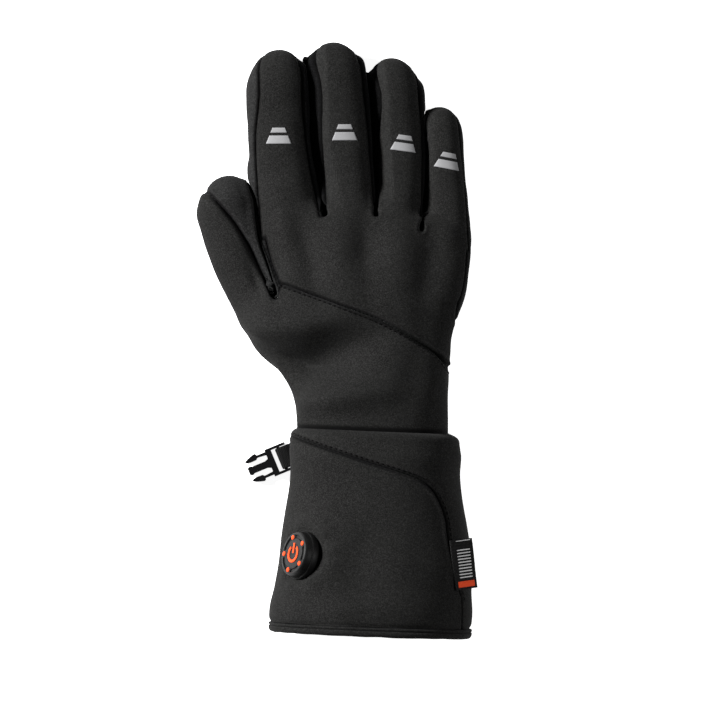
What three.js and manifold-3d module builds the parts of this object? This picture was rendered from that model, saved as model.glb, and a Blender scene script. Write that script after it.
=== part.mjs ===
// A padded right-hand glove with a long flared cuff, lying palm down. It is a hollow shell of cloth
// panels with a push button, half a buckle on a webbing tab, a side label and reflective finger marks.
// Millimetres. +X points to the little finger's side, +Y to the fingertips and +Z up, away from the palm.
// The origin is on the flat underside, in the middle of the palm.
import * as THREE from "three";
import { mergeVertices } from "three/addons/utils/BufferGeometryUtils.js";
import Module from "manifold-3d";

const wasm = await Module();
wasm.setup();

// Shell and seams
const wall = 3;
const seamGap = 0.3;
const seatGap = 0.3;
const fingerGap = 0.8;
const gussetSeamHeight = 5;
const gussetMargin = 0.9;
const fingerCreaseLean = 0.09;
const thumbCreaseLean = -0.12;
const creaseHeight = 14;
const tipSeamInset = 2.6;

// Hand, from the cuff's rim to the finger crotches
const rimFromOrigin = 68;
const palmLength = 122.6;
const palmWidth = 120;
const palmThickness = 36;
const wristThickness = 56;

// Cuff
const cuffLength = 114.7;
const cuffWidth = 113.4;
const cuffThickness = 78;
const cuffMiddle = 5.6;
const rimThickness = 4.5;
const wristTuck = 14;
const hemHeight = 5.5;
const hemBulge = 0.7;
const cuffSlant = 2.2;

// Push button
const buttonRadius = 15;
const buttonFaceRadius = 12.2;
const buttonHeight = 5;
const buttonSunk = 4;
const buttonDown = 0.605;
const buttonTurn = 135.5;
const grooveOuterRadius = 10.9;
const grooveInnerRadius = 8.4;
const grooveDepth = 0.8;
const lightCount = 5;
const lightRadius = 1.3;
const symbolRadius = 4.4;
const symbolStroke = 1.6;
const symbolOpening = 76;
const inlayHeight = 0.9;

// Half buckle and its webbing tab
const buckleLength = 24.7;
const buckleWidth = 16.2;
const buckleThickness = 4.4;
const buckleTurn = 22.5;
const buckleRear = new THREE.Vector2(-42.8, -82);
const railWidth = 1.5;
const barSetBack = 3.4;
const barWidth = 1.9;
const barThickness = 1.4;
const railLength = 8.6;
const crossLength = 3.4;
const tongueWidth = 4;
const armWidth = 1.5;
const headWidth = 3.6;
const headLength = 7.4;
const webbing = 1;
const tabLength = 22;

// Label
const labelLength = 28;
const labelWidth = 14;
const labelThickness = 1;
const labelDown = 0.64;
const labelTurn = 39.6;
const labelSlope = 38;
const labelSwing = 7;

// Reflective marks
const markLength = 9;
const markTopWidth = 7;
const markBottomWidth = 14.2;
const markThickness = 0.5;
const markSlot = 1.6;
const markUpperLength = 2.8;

const cloth = { color: 0x1d1c1a, roughness: 0.9, metalness: 0 };
const palmCloth = { color: 0x191918, roughness: 0.92, metalness: 0 };
const rubber = { color: 0x141414, roughness: 0.6, metalness: 0 };
const orange = { color: 0xf0562a, roughness: 0.5, metalness: 0 };
const plastic = { color: 0x101114, roughness: 0.35, metalness: 0 };
const woven = { color: 0x121212, roughness: 0.95, metalness: 0 };
const reflective = { color: 0x9a9aa0, roughness: 0.45, metalness: 0.1 };

// Fingers. across is a share of the palm's width from its middle and up a share of its length from the
// rim. lean is in degrees towards the thumb's side, and bow in millimetres towards the little finger's
// side. The insets are how far the top panel's seams lie inside the outline. mark, markTurn and markAside
// place the reflective mark: a share of the length, degrees, and millimetres off the middle line.
const fingers = [
  {
    name: "index", across: -0.357, up: 1.005, lean: 3.9, bow: -2.8, length: 91.8, tip: 24, rootWidth: 38,
    width: 35.6, height: 26, thumbSideInset: 3.8, farSideInset: 2.2, mark: 0.47, markTurn: 0, markAside: 0,
  },
  {
    name: "middle", across: -0.073, up: 1.014, lean: 6.1, bow: 0, length: 95, tip: 20, rootWidth: 31,
    width: 34, height: 26.5, thumbSideInset: 5.4, farSideInset: 1.6, mark: 0.46, markTurn: 0, markAside: 2,
  },
  {
    name: "ring", across: 0.155, up: 0.977, lean: 2.6, bow: 1.9, length: 90.2, tip: 18.6, rootWidth: 28,
    width: 30.4, height: 25, thumbSideInset: 4.5, farSideInset: 1.2, mark: 0.465, markTurn: -8, markAside: 3.4,
  },
  {
    name: "little", across: 0.376, up: 0.913, lean: 3.3, bow: 1.9, length: 70.8, tip: 14, rootWidth: 29,
    width: 23.4, height: 22.5, thumbSideInset: 1.2, farSideInset: 1.2, mark: 0.565, markTurn: -11, markAside: 2,
  },
];
const thumb = {
  name: "thumb", across: -0.411, up: 0.499, lean: 22.3, bow: -2.8, length: 87.6, tip: 18, rootWidth: 35,
  width: 33, height: 27,
};

// Sections of a finger. along is a share of its length, spread runs from its root width to its width,
// rise is a share of its height, and size closes it at the root, inside the hand.
const fingerSections = [
  { along: -0.24, spread: 0, rise: 1.06, size: 0.4 },
  { along: -0.12, spread: 0, rise: 1.06, size: 0.86 },
  { along: 0.03, spread: 0, rise: 1.06, size: 1 },
  { along: 0.24, spread: 0.6, rise: 1, size: 1 },
  { along: 0.45, spread: 1, rise: 1, size: 1 },
];
const tipAngles = [0, 30, 53, 72];

// Sections of the hand. up is a share of the palm's length, thumbSide and farSide are shares of its
// width, slant is how far a section runs forward per millimetre across, thickness runs from the palm's
// to the wrist's, and shrink takes the height down at the finger roots.
const handSections = [
  { up: 0.03, thumbSide: -0.319, farSide: 0.39, slant: 0, thickness: 1, shrink: 1 },
  { up: 0.127, thumbSide: -0.328, farSide: 0.39, slant: 0, thickness: 0.95, shrink: 1 },
  { up: 0.2, thumbSide: -0.353, farSide: 0.392, slant: 0, thickness: 0.85, shrink: 1 },
  { up: 0.27, thumbSide: -0.399, farSide: 0.394, slant: 0, thickness: 0.72, shrink: 1 },
  { up: 0.343, thumbSide: -0.465, farSide: 0.399, slant: 0, thickness: 0.6, shrink: 1 },
  { up: 0.417, thumbSide: -0.526, farSide: 0.406, slant: 0, thickness: 0.5, shrink: 1 },
  { up: 0.486, thumbSide: -0.562, farSide: 0.4225, slant: 0, thickness: 0.42, shrink: 1 },
  { up: 0.6, thumbSide: -0.53, farSide: 0.465, slant: 0, thickness: 0.3, shrink: 1 },
  { up: 0.738, thumbSide: -0.446, farSide: 0.4865, slant: -0.02, thickness: 0.18, shrink: 1 },
  { up: 0.853, thumbSide: -0.483, farSide: 0.499, slant: -0.05, thickness: 0.08, shrink: 1 },
  { up: 0.95, thumbSide: -0.505, farSide: 0.495, slant: -0.08, thickness: 0, shrink: 0.94 },
  { up: 1.02, thumbSide: -0.49, farSide: 0.48, slant: -0.1, thickness: 0, shrink: 0.68 },
];
// The share of the palm's length over which the wrist's underside climbs on to the cuff's rim.
const wristClimb = 0.27;

// Sections of the cuff. down is a share of its length from the rim, width a share of its width, shift a
// share of its width off its middle line, and thickness a share of its thickness.
const cuffSections = [
  { down: 0, width: 0.815, shift: 0.004, thickness: 0.76 },
  { down: 0.018, width: 0.84, shift: 0.003, thickness: 0.795 },
  { down: 0.06, width: 0.85, shift: 0, thickness: 0.81 },
  { down: 0.214, width: 0.85, shift: 0.002, thickness: 0.83 },
  { down: 0.447, width: 0.904, shift: 0, thickness: 0.89 },
  { down: 0.68, width: 0.97, shift: 0.001, thickness: 0.96 },
  { down: 0.773, width: 0.984, shift: -0.01, thickness: 0.98 },
  { down: 0.874, width: 1.009, shift: -0.02, thickness: 1 },
  { down: 1, width: 0.99, shift: -0.025, thickness: 0.99 },
];
const foldDepth = 0.12;
const foldEnd = 0.17;

// Creases where two fingers, or the thumb and the hand, press together, from the crotch outwards.
const fingerCreases = {
  index_middle: [[-0.197, 1], [-0.221, 1.123], [-0.26, 1.326], [-0.265, 1.516], [-0.272, 1.63], [-0.277, 1.85]],
  middle_ring: [[0.042, 1], [0.042, 1.123], [0.03, 1.326], [0.021, 1.516], [0.009, 1.607], [-0.012, 1.85]],
  ring_little: [[0.256, 0.926], [0.27, 1.022], [0.281, 1.223], [0.284, 1.378], [0.286, 1.46], [0.29, 1.8]],
};
const thumbCrease = [
  [-0.408, 0.633], [-0.422, 0.692], [-0.455, 0.784], [-0.486, 0.867], [-0.507, 0.968], [-0.517, 1.06],
  [-0.545, 1.13], [-0.6, 1.3],
];

// Seams seen from above, as shares of the palm's width and length.
const handSeam = [
  [-0.402, 0.68], [-0.296, 0.643], [-0.103, 0.573], [0.089, 0.498], [0.282, 0.391], [0.347, 0.344],
  [0.396, 0.285], [0.47, 0.18],
];
const farSideSeam = [
  [0.46, 0.33], [0.433, 0.43], [0.428, 0.51], [0.437, 0.578], [0.453, 0.62], [0.473, 0.716], [0.4836, 0.918],
  [0.47, 0.99],
];
const thumbSideSeam = [[-0.475, 0.985], [-0.4836, 0.945], [-0.462, 0.86], [-0.438, 0.77], [-0.415, 0.715]];
const thumbSeam = [
  [-0.422, 0.61], [-0.498, 0.752], [-0.549, 0.858], [-0.62, 0.968], [-0.695, 1.051], [-0.746, 1.1],
  [-0.795, 1.1], [-0.86, 1.04],
];
// The side seam's height as a share of the palm's thickness, along the palm's length.
const sideSeam = [[2.2, 0.27], [1, 0.3], [0.55, 0.38], [0.2, 0.5], [-0.4, 0.5]];
// The cuff's seam: shares of the cuff's width across and of its length down.
const cuffSeam = [
  [-0.412, 0.024], [-0.3, 0.065], [-0.059, 0.145], [0.183, 0.222], [0.268, 0.27], [0.32, 0.348], [0.35, 0.433],
  [0.36, 0.511], [0.385, 0.64], [0.415, 0.773], [0.43, 0.85], [0.425, 1.1],
];

// How full a section's crown is, and how far its round underside would sink through the table.
const crownFullness = 0.86;
const pressing = 1.08;
const sideShare = 0.44;

const handSides = 24;
const fingerSides = 14;
const liningSides = 10;
const cuffSides = 26;
const roundSides = 20;
const creaseSteps = 5;
const seamSteps = 10;
const cuffSeamSteps = 14;
const farAway = 250;
const sharpestCorner = 0.3;

const radians = THREE.MathUtils.degToRad;
const lerp = THREE.MathUtils.lerp;
const rimY = -rimFromOrigin;
const palmPoint = ([across, up]) => new THREE.Vector2(across * palmWidth, rimY + up * palmLength);
const cuffPoint = ([across, down]) => new THREE.Vector2(cuffMiddle + across * cuffWidth, rimY - down * cuffLength);

// Solids and meshes

function toSolid(geometry) {
  geometry.deleteAttribute("normal");
  geometry.deleteAttribute("uv");
  const merged = mergeVertices(geometry, 1e-4);
  return new wasm.Manifold(
    new wasm.Mesh({
      numProp: 3,
      vertProperties: merged.attributes.position.array,
      triVerts: new Uint32Array(merged.index.array),
    }),
  );
}

function unionOf(solids) {
  return solids.reduce((all, next) => all.add(next));
}

function takeAway(solid, cutters) {
  return cutters.reduce((left, cutter) => left.subtract(cutter), solid);
}

// The main body of a cut solid, without the crumbs that a cut leaves where surfaces graze.
function mainBody(solid) {
  return solid.decompose().sort((a, b) => b.volume() - a.volume())[0];
}

function part(name, solid, finish) {
  const { numProp, vertProperties, triVerts } = mainBody(solid).getMesh();
  const positions = vertProperties.filter((_, i) => i % numProp < 3);
  const geometry = new THREE.BufferGeometry();
  geometry.setAttribute("position", new THREE.BufferAttribute(positions, 3));
  geometry.setIndex(Array.from(triVerts));
  geometry.computeVertexNormals();
  const mesh = new THREE.Mesh(geometry, new THREE.MeshStandardMaterial(finish));
  mesh.name = name;
  return mesh;
}

// A closed skin over rings of points that follow each other towards +Y, with a fan over each end.
function loft(rings) {
  const sides = rings[0].length;
  const points = rings.flat();
  const middleOf = (ring) => ring.reduce((sum, p) => sum.add(p), new THREE.Vector3()).divideScalar(sides);
  const first = points.push(middleOf(rings[0])) - 1;
  const last = points.push(middleOf(rings.at(-1))) - 1;
  const lastRing = (rings.length - 1) * sides;
  const faces = [];
  for (let i = 0; i < sides; i += 1) {
    const next = (i + 1) % sides;
    for (let low = 0; low < lastRing; low += sides) {
      const high = low + sides;
      faces.push(low + i, high + i, low + next, low + next, high + i, high + next);
    }
    faces.push(first, i, next, last, lastRing + next, lastRing + i);
  }
  const geometry = new THREE.BufferGeometry().setFromPoints(points);
  geometry.setIndex(faces);
  return toSolid(geometry);
}

function extruded(shape, depth, matrix) {
  const geometry = new THREE.ExtrudeGeometry(shape, { depth, bevelEnabled: false, curveSegments: 6 });
  return toSolid(geometry.applyMatrix4(matrix));
}

// An upright prism over a plan, from one height to another.
function prism(plan, low, high = farAway) {
  return extruded(new THREE.Shape(plan), high - low, new THREE.Matrix4().makeTranslation(0, 0, low));
}

// A plan whose outline is moved outwards, with mitred corners.
function widened(plan, grow) {
  const outward = THREE.ShapeUtils.area(plan) > 0 ? grow : -grow;
  const normals = plan.map((p, i) => {
    const edge = plan[(i + 1) % plan.length].clone().sub(p).normalize();
    return new THREE.Vector2(edge.y, -edge.x);
  });
  return plan.map((p, i) => {
    const both = normals[i].clone().add(normals.at(i - 1));
    return p.clone().addScaledVector(both, (2 * outward) / Math.max(both.lengthSq(), sharpestCorner));
  });
}

function smooth(points, steps) {
  return new THREE.SplineCurve(points).getPoints(steps);
}

function interpolate(rows, at, column, value) {
  const after = rows.findIndex((row) => row[column] >= at);
  if (after < 0) return rows.at(-1)[value];
  if (after === 0) return rows[0][value];
  const [low, high] = [rows[after - 1], rows[after]];
  return lerp(low[value], high[value], (at - low[column]) / (high[column] - low[column]));
}

// Soft sections

const soften = (value) => Math.sign(value) * Math.abs(value) ** crownFullness;

// A point of a section at a turn round it: a full crown over an underside that is pressed flat.
// size shrinks the section towards its side height, as at a fingertip.
function sectionPoint({ at, across, half, bottom, side, top, size = 1 }, turn) {
  const out = half * size * soften(Math.cos(turn));
  const lift = size * soften(Math.sin(turn));
  const drop = Math.min(1, pressing * (1 - (1 + lift) ** 2));
  const height = lift > 0 ? side + (top - side) * lift : side - (side - bottom) * drop;
  return new THREE.Vector3(at.x + across.x * out, at.y + across.y * out, height);
}

function sectionRing(section, sides) {
  return Array.from({ length: sides }, (_, i) => sectionPoint(section, (2 * Math.PI * i) / sides));
}

function grown(section, grow) {
  return { ...section, half: section.half + grow, bottom: section.bottom - grow, top: section.top + grow };
}

function loftOf(sections, sides) {
  return loft(sections.map((section) => sectionRing(section, sides)));
}

// Fingers and thumb

function fingerPoint(finger, distance, aside) {
  const lean = radians(finger.lean);
  const share = THREE.MathUtils.clamp(distance / finger.length, 0, 1);
  const out = aside + finger.bow * 4 * share * (1 - share);
  const root = palmPoint([finger.across, finger.up]);
  return new THREE.Vector2(
    root.x + out * Math.cos(lean) - distance * Math.sin(lean),
    root.y + out * Math.sin(lean) + distance * Math.cos(lean),
  );
}

function fingerHalf(finger, distance) {
  const spread = interpolate(fingerSections, distance / finger.length, "along", "spread");
  return lerp(finger.rootWidth, finger.width, spread) / 2;
}

function fingerSection(finger, distance, size, grow) {
  const lean = radians(finger.lean);
  const rise = interpolate(fingerSections, distance / finger.length, "along", "rise");
  return {
    at: fingerPoint(finger, distance, 0),
    across: new THREE.Vector2(Math.cos(lean), Math.sin(lean)),
    half: fingerHalf(finger, distance) + grow,
    bottom: -grow,
    side: finger.height * sideShare,
    top: finger.height * rise + grow,
    size,
  };
}

// Distances along a finger, and the size of its section there, up to its round tip.
function fingerStations(finger, tipGrow) {
  const tipStart = finger.length - finger.tip;
  const body = fingerSections.map((row) => ({ distance: row.along * finger.length, size: row.size }));
  const tip = tipAngles.map((angle) => ({
    distance: tipStart + (finger.tip + tipGrow) * Math.sin(radians(angle)),
    size: Math.cos(radians(angle)),
  }));
  return [...body.filter((station) => station.distance < tipStart - 1), ...tip];
}

function fingerSolid(finger, grow, sides) {
  const sections = fingerStations(finger, grow).map(({ distance, size }) =>
    fingerSection(finger, distance, size, grow),
  );
  return loftOf(sections, sides);
}

// The plan of a finger's top panel, inside its outline by the seams' insets.
function fingerTopPlan(finger) {
  const stations = fingerStations(finger, -tipSeamInset);
  const edge = (side, inset) =>
    stations.map(({ distance, size }) =>
      fingerPoint(finger, distance, side * (fingerHalf(finger, distance) - inset) * size),
    );
  return [...edge(1, finger.farSideInset), ...edge(-1, finger.thumbSideInset).reverse()];
}

// The hand

function handSection(row, grow) {
  const low = row.thumbSide * palmWidth;
  const high = row.farSide * palmWidth;
  const lift = THREE.MathUtils.clamp(1.4 - (1.4 * row.up) / wristClimb, 0, 1) * (rimThickness + seatGap);
  const height = lerp(palmThickness, wristThickness, row.thickness) * row.shrink;
  const section = {
    at: new THREE.Vector2((low + high) / 2, rimY + row.up * palmLength),
    across: new THREE.Vector2(1, row.slant),
    half: (high - low) / 2,
    bottom: lift,
    side: lerp(lift, height, sideShare),
    top: height,
  };
  return grown(section, grow);
}

function wristEnd(distance, grow) {
  const section = handSection(handSections[0], grow);
  return { ...section, at: new THREE.Vector2(section.at.x, rimY - distance) };
}

function handSolid(grow, sides, tuck) {
  const sections = handSections.map((row) => handSection(row, grow));
  return loftOf([wristEnd(tuck, grow), ...sections], sides);
}

// A slot of some half width along a crease, round at the crotch. It leans, so that nothing shows
// through it from above, and stands over its line at the creases' height.
function creaseSlot(crease, halfWidth, lean, low) {
  const path = smooth(crease.map(palmPoint), creaseSteps);
  const along = path.map((_, i) =>
    path[Math.min(i + 1, path.length - 1)].clone().sub(path[Math.max(i - 1, 0)]).normalize(),
  );
  const edge = (side) =>
    path.map((p, i) => new THREE.Vector2(p.x + along[i].y * side * halfWidth, p.y - along[i].x * side * halfWidth));
  const leftward = new THREE.Vector2(-along[0].y, along[0].x).multiplyScalar(halfWidth);
  const crotch = [60, 120].map((angle) =>
    leftward.clone().rotateAround(new THREE.Vector2(), radians(angle)).add(path[0]),
  );
  const shape = new THREE.Shape([...edge(1), ...edge(-1).reverse(), ...crotch]);
  const leaning = new THREE.Matrix4().makeShear(0, 0, 0, 0, lean, 0).setPosition(-lean * creaseHeight, 0, 0);
  return extruded(shape, farAway - low, leaning.multiply(new THREE.Matrix4().makeTranslation(0, 0, low)));
}

function creaseSlots(halfWidth) {
  const slots = Object.values(fingerCreases).map((crease) =>
    creaseSlot(crease, halfWidth, fingerCreaseLean, -creaseHeight),
  );
  return [...slots, creaseSlot(thumbCrease, halfWidth, thumbCreaseLean, -creaseHeight)];
}

function handShell() {
  const skin = (grow, sides, bodySides, tuck, slot) =>
    takeAway(
      unionOf([handSolid(grow, bodySides, tuck), ...[...fingers, thumb].map((finger) => fingerSolid(finger, grow, sides))]),
      creaseSlots(slot),
    );
  const outside = skin(0, fingerSides, handSides, wristTuck, fingerGap / 2);
  const inside = skin(-wall, liningSides, handSides, wristTuck + wall, fingerGap / 2 + wall);
  return outside.subtract(inside);
}

// Everything above the side seam, lowered by a gap.
function aboveSideSeam(gap) {
  const line = sideSeam.map(([up, height]) => new THREE.Vector2(rimY + up * palmLength, height * palmThickness - gap));
  const outline = [...line, new THREE.Vector2(line.at(-1).x, farAway), new THREE.Vector2(line[0].x, farAway)];
  const standing = new THREE.Matrix4().makeBasis(
    new THREE.Vector3(0, 1, 0),
    new THREE.Vector3(0, 0, 1),
    new THREE.Vector3(1, 0, 0),
  );
  return extruded(new THREE.Shape(outline), 2 * farAway, standing.setPosition(-farAway, 0, 0));
}

function backRegion(gap) {
  const handPlan = [
    ...smooth(handSeam.map(palmPoint), seamSteps),
    ...farSideSeam.map(palmPoint),
    ...thumbSideSeam.map(palmPoint),
  ];
  const plans = [handPlan, ...fingers.map(fingerTopPlan)];
  return unionOf(plans.map((plan) => prism(widened(plan, gap), -farAway))).intersect(aboveSideSeam(gap));
}

function wristRegion(gap) {
  const outline = [[-1.2, 1.04], [-1.2, -0.6], [1, -0.6], [1, 0.1], [0.44, 0.3], [0, 0.6], [-0.38, 0.7]];
  const plan = [...outline.map(palmPoint), ...smooth(thumbSeam.map(palmPoint), seamSteps)];
  return prism(widened(plan, gap), -farAway).intersect(aboveSideSeam(gap));
}

function thumbRegion(gap) {
  const plan = [
    ...smooth(thumbSeam.map(palmPoint), seamSteps),
    ...[[-1.2, 1.04], [-1.2, 1.5]].map(palmPoint),
    ...smooth(thumbCrease.map(palmPoint), creaseSteps).reverse(),
  ];
  return prism(widened(plan, gap), -farAway).intersect(aboveSideSeam(gap));
}

function gussetRegion(crease, gap) {
  const halfWidth = fingerGap / 2 + wall + gussetMargin + gap;
  return creaseSlot(crease, halfWidth, fingerCreaseLean, gussetSeamHeight - gap);
}

function handPanels() {
  const shell = handShell();
  const back = shell.intersect(backRegion(0));
  const besideBack = shell.subtract(backRegion(seamGap));
  const wrist = besideBack.intersect(wristRegion(0));
  const besideWrist = besideBack.subtract(wristRegion(seamGap));
  const innerThumb = besideWrist.intersect(thumbRegion(0));
  const besideThumb = besideWrist.subtract(thumbRegion(seamGap));
  const creases = Object.entries(fingerCreases);
  const gussets = creases.map(([name, crease]) =>
    part(`gusset_${name}`, besideThumb.intersect(gussetRegion(crease, 0)), cloth),
  );
  const palm = takeAway(besideThumb, creases.map(([, crease]) => gussetRegion(crease, seamGap)));
  return [
    part("back_panel", back, cloth),
    part("wrist_panel", wrist, cloth),
    part("thumb_panel", innerThumb, palmCloth),
    part("palm_panel", palm, palmCloth),
    ...gussets,
  ];
}

// The cuff

function cuffSection(down, grow) {
  const [width, shift, thickness] = ["width", "shift", "thickness"].map((value) =>
    interpolate(cuffSections, down, "down", value),
  );
  const top = cuffThickness * thickness;
  const section = {
    at: new THREE.Vector2(cuffMiddle + shift * cuffWidth, rimY - down * cuffLength),
    across: new THREE.Vector2(1, -Math.tan(radians(cuffSlant))),
    half: (width * cuffWidth) / 2,
    bottom: 0,
    side: top * sideShare,
    top,
  };
  return grown(section, grow);
}

function cuffLoft(downs, grow, sides) {
  return loftOf(downs.map((down) => cuffSection(down, grow)).reverse(), sides);
}

function cuffShell() {
  const rows = cuffSections.map((row) => row.down);
  const outside = cuffLoft(rows, 0, cuffSides);
  const inside = [
    wristEnd(-wall, seatGap),
    wristEnd(foldDepth * cuffLength, seatGap),
    cuffSection(foldEnd, -wall),
    ...rows.filter((down) => down > foldEnd).map((down) => cuffSection(down, -wall)),
    { ...cuffSection(1, -wall), at: cuffPoint([0, 1.2]) },
  ];
  return outside.subtract(loftOf(inside.reverse(), handSides));
}

// A slanting slab across the cuff, from one share of its length to another.
function cuffSlab(from, to) {
  const slant = Math.tan(radians(cuffSlant));
  const corner = (x, down) => new THREE.Vector2(x, rimY - down * cuffLength - (x - cuffMiddle) * slant);
  return prism([corner(-farAway, to), corner(farAway, to), corner(farAway, from), corner(-farAway, from)], -farAway);
}

function wedgeRegion(gap) {
  const seam = smooth(cuffSeam.map(cuffPoint), cuffSeamSteps);
  const outline = [[2, 1.1], [2, -0.5], [-2, -0.5], [-2, -0.02]].map(cuffPoint);
  return prism(widened([...seam, ...outline], gap), -farAway);
}

function hemBand() {
  const start = 1 - hemHeight / cuffLength;
  const edge = hemBulge / cuffLength;
  const downs = [start, start + edge, 1 - 2 * edge, 1];
  const swell = [0, hemBulge, hemBulge, 0];
  const ring = (sign) =>
    downs.map((down, i) => {
      const section = cuffSection(down, sign < 0 ? -wall - swell[i] : swell[i]);
      return { ...section, bottom: Math.max(section.bottom, 0) };
    });
  const inside = ring(-1);
  const reach = (section, step) => ({ ...section, at: section.at.clone().add(new THREE.Vector2(0, step)) });
  const bore = [reach(inside[0], wall), ...inside, reach(inside.at(-1), -wall)];
  return loftOf(ring(1).reverse(), cuffSides).subtract(loftOf(bore.reverse(), cuffSides));
}

// A frame on the cuff's surface, with Z along the outward normal and Y as near the fingers as it can be.
function onCuff(down, turn) {
  const point = (d, t) => sectionPoint(cuffSection(d, 0), radians(t));
  const along = point(down - 0.05, turn).sub(point(down + 0.05, turn)).normalize();
  const round = point(down, turn - 4).sub(point(down, turn + 4)).normalize();
  const normal = round.clone().cross(along).normalize();
  const forward = normal.clone().cross(round);
  return new THREE.Matrix4().makeBasis(round, forward, normal).setPosition(point(down, turn));
}

function cuffParts() {
  const place = onCuff(buttonDown, buttonTurn);
  const hole = lathe([[0, -buttonSunk - wall], [buttonRadius + seatGap, -buttonSunk - wall],
    [buttonRadius + seatGap, buttonSunk + wall], [0, buttonSunk + wall]], place);
  const shell = cuffShell().subtract(hole).subtract(cuffSlab(1 - (hemHeight + seamGap) / cuffLength, 2));
  return [
    part("cuff_panel", shell.subtract(wedgeRegion(seamGap)), cloth),
    part("cuff_wedge_panel", shell.intersect(wedgeRegion(0)), cloth),
    part("hem_band", hemBand(), cloth),
    ...buttonParts(place),
    ...buckleParts(),
    labelPart(),
  ];
}

// The push button, in a frame with Z along its axis and zero at the cloth

const upright = new THREE.Matrix4().makeRotationX(Math.PI / 2);

function lathe(profile, place) {
  const points = profile.map(([r, z]) => new THREE.Vector2(r, z));
  const geometry = new THREE.LatheGeometry(points, roundSides);
  return toSolid(geometry.applyMatrix4(upright).applyMatrix4(place));
}

function buttonParts(place) {
  const grooveFloor = buttonHeight - grooveDepth;
  const body = lathe(
    [
      [0, -buttonSunk],
      [buttonRadius, -buttonSunk],
      [buttonRadius, 0.8],
      [buttonRadius - 0.8, 1.6],
      [buttonFaceRadius + 1, 2],
      [buttonFaceRadius, buttonHeight - 0.7],
      [buttonFaceRadius - 0.7, buttonHeight],
      [grooveOuterRadius, buttonHeight],
      [grooveOuterRadius, grooveFloor],
      [grooveInnerRadius, grooveFloor],
      [grooveInnerRadius, buttonHeight],
      [0, buttonHeight],
    ],
    place,
  );
  const raised = (shape, height) =>
    extruded(shape, inlayHeight, place.clone().multiply(new THREE.Matrix4().makeTranslation(0, 0, height + seatGap)));
  const lightRing = (grooveOuterRadius + grooveInnerRadius) / 2;
  const lightSize = Math.min(lightRadius, (grooveOuterRadius - grooveInnerRadius) / 2 - seatGap);
  const lights = Array.from({ length: lightCount }, (_, i) => {
    const angle = radians(108 + (360 * i) / lightCount);
    const dot = new THREE.Shape();
    dot.absarc(lightRing * Math.cos(angle), lightRing * Math.sin(angle), lightSize, 0, 2 * Math.PI);
    return part(`button_light_${i + 1}`, raised(dot, grooveFloor), orange);
  });
  const [from, to] = [radians(90 + symbolOpening / 2), radians(450 - symbolOpening / 2)];
  const arc = new THREE.Shape();
  arc.absarc(0, 0, symbolRadius + symbolStroke / 2, from, to, false);
  arc.absarc(0, 0, symbolRadius - symbolStroke / 2, to, from, true);
  const bar = new THREE.Shape([
    new THREE.Vector2(-symbolStroke / 2, 0),
    new THREE.Vector2(symbolStroke / 2, 0),
    new THREE.Vector2(symbolStroke / 2, symbolRadius + symbolStroke),
    new THREE.Vector2(-symbolStroke / 2, symbolRadius + symbolStroke),
  ]);
  return [
    part("button_body", body, rubber),
    part("button_symbol_arc", raised(arc, buttonHeight), orange),
    part("button_symbol_bar", raised(bar, buttonHeight), orange),
    ...lights,
  ];
}

// The buckle half, in a frame with X from its rear to its tip and Z up from the table

function box(low, high, place) {
  const geometry = new THREE.BoxGeometry(high[0] - low[0], high[1] - low[1], high[2] - low[2]);
  geometry.translate((low[0] + high[0]) / 2, (low[1] + high[1]) / 2, (low[2] + high[2]) / 2);
  return toSolid(geometry.applyMatrix4(place));
}

function buckleParts() {
  const place = new THREE.Matrix4()
    .makeRotationZ(Math.PI + radians(buckleTurn))
    .setPosition(buckleRear.x, buckleRear.y, 0);
  const halfWidth = buckleWidth / 2;
  const crossEnd = railLength + crossLength;
  const barMiddle = buckleThickness / 2;
  const headStart = buckleLength - headLength;
  const armOuter = halfWidth - 1.2;
  const arm = (side) =>
    [
      [railLength, armOuter - armWidth],
      [headStart, armOuter - armWidth],
      [headStart + 1, halfWidth - headWidth],
      [buckleLength - 1.6, halfWidth - headWidth],
      [buckleLength, halfWidth - headWidth + 0.6],
      [buckleLength - 0.4, halfWidth - headWidth + 1.6],
      [headStart + headLength / 2, halfWidth - 0.8],
      [headStart + 0.6, halfWidth],
      [headStart, halfWidth - 0.3],
      [headStart, armOuter],
      [railLength, armOuter],
    ].map(([x, y]) => new THREE.Vector2(x, side * y));
  const armThickness = buckleThickness * 0.7;
  const level = (height) => place.clone().multiply(new THREE.Matrix4().makeTranslation(0, 0, height));
  const solids = [
    ...[-1, 1].map((side) => {
      const [near, far] = [side * (halfWidth - railWidth), side * halfWidth].sort((a, b) => a - b);
      return box([0, near, 0], [crossEnd, far, buckleThickness], place);
    }),
    box([railLength, -halfWidth, 0], [crossEnd, halfWidth, buckleThickness], place),
    box(
      [barSetBack, -halfWidth + 0.5, barMiddle - barThickness / 2],
      [barSetBack + barWidth, halfWidth - 0.5, barMiddle + barThickness / 2],
      place,
    ),
    box([railLength + 1, -tongueWidth / 2, 0.6], [buckleLength, tongueWidth / 2, buckleThickness - 0.6], place),
    ...[-1, 1].map((side) =>
      extruded(new THREE.Shape(arm(side)), armThickness, level((buckleThickness - armThickness) / 2)),
    ),
  ];
  return [part("buckle_half", unionOf(solids), plastic), webbingTab(place, barMiddle)];
}

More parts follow.
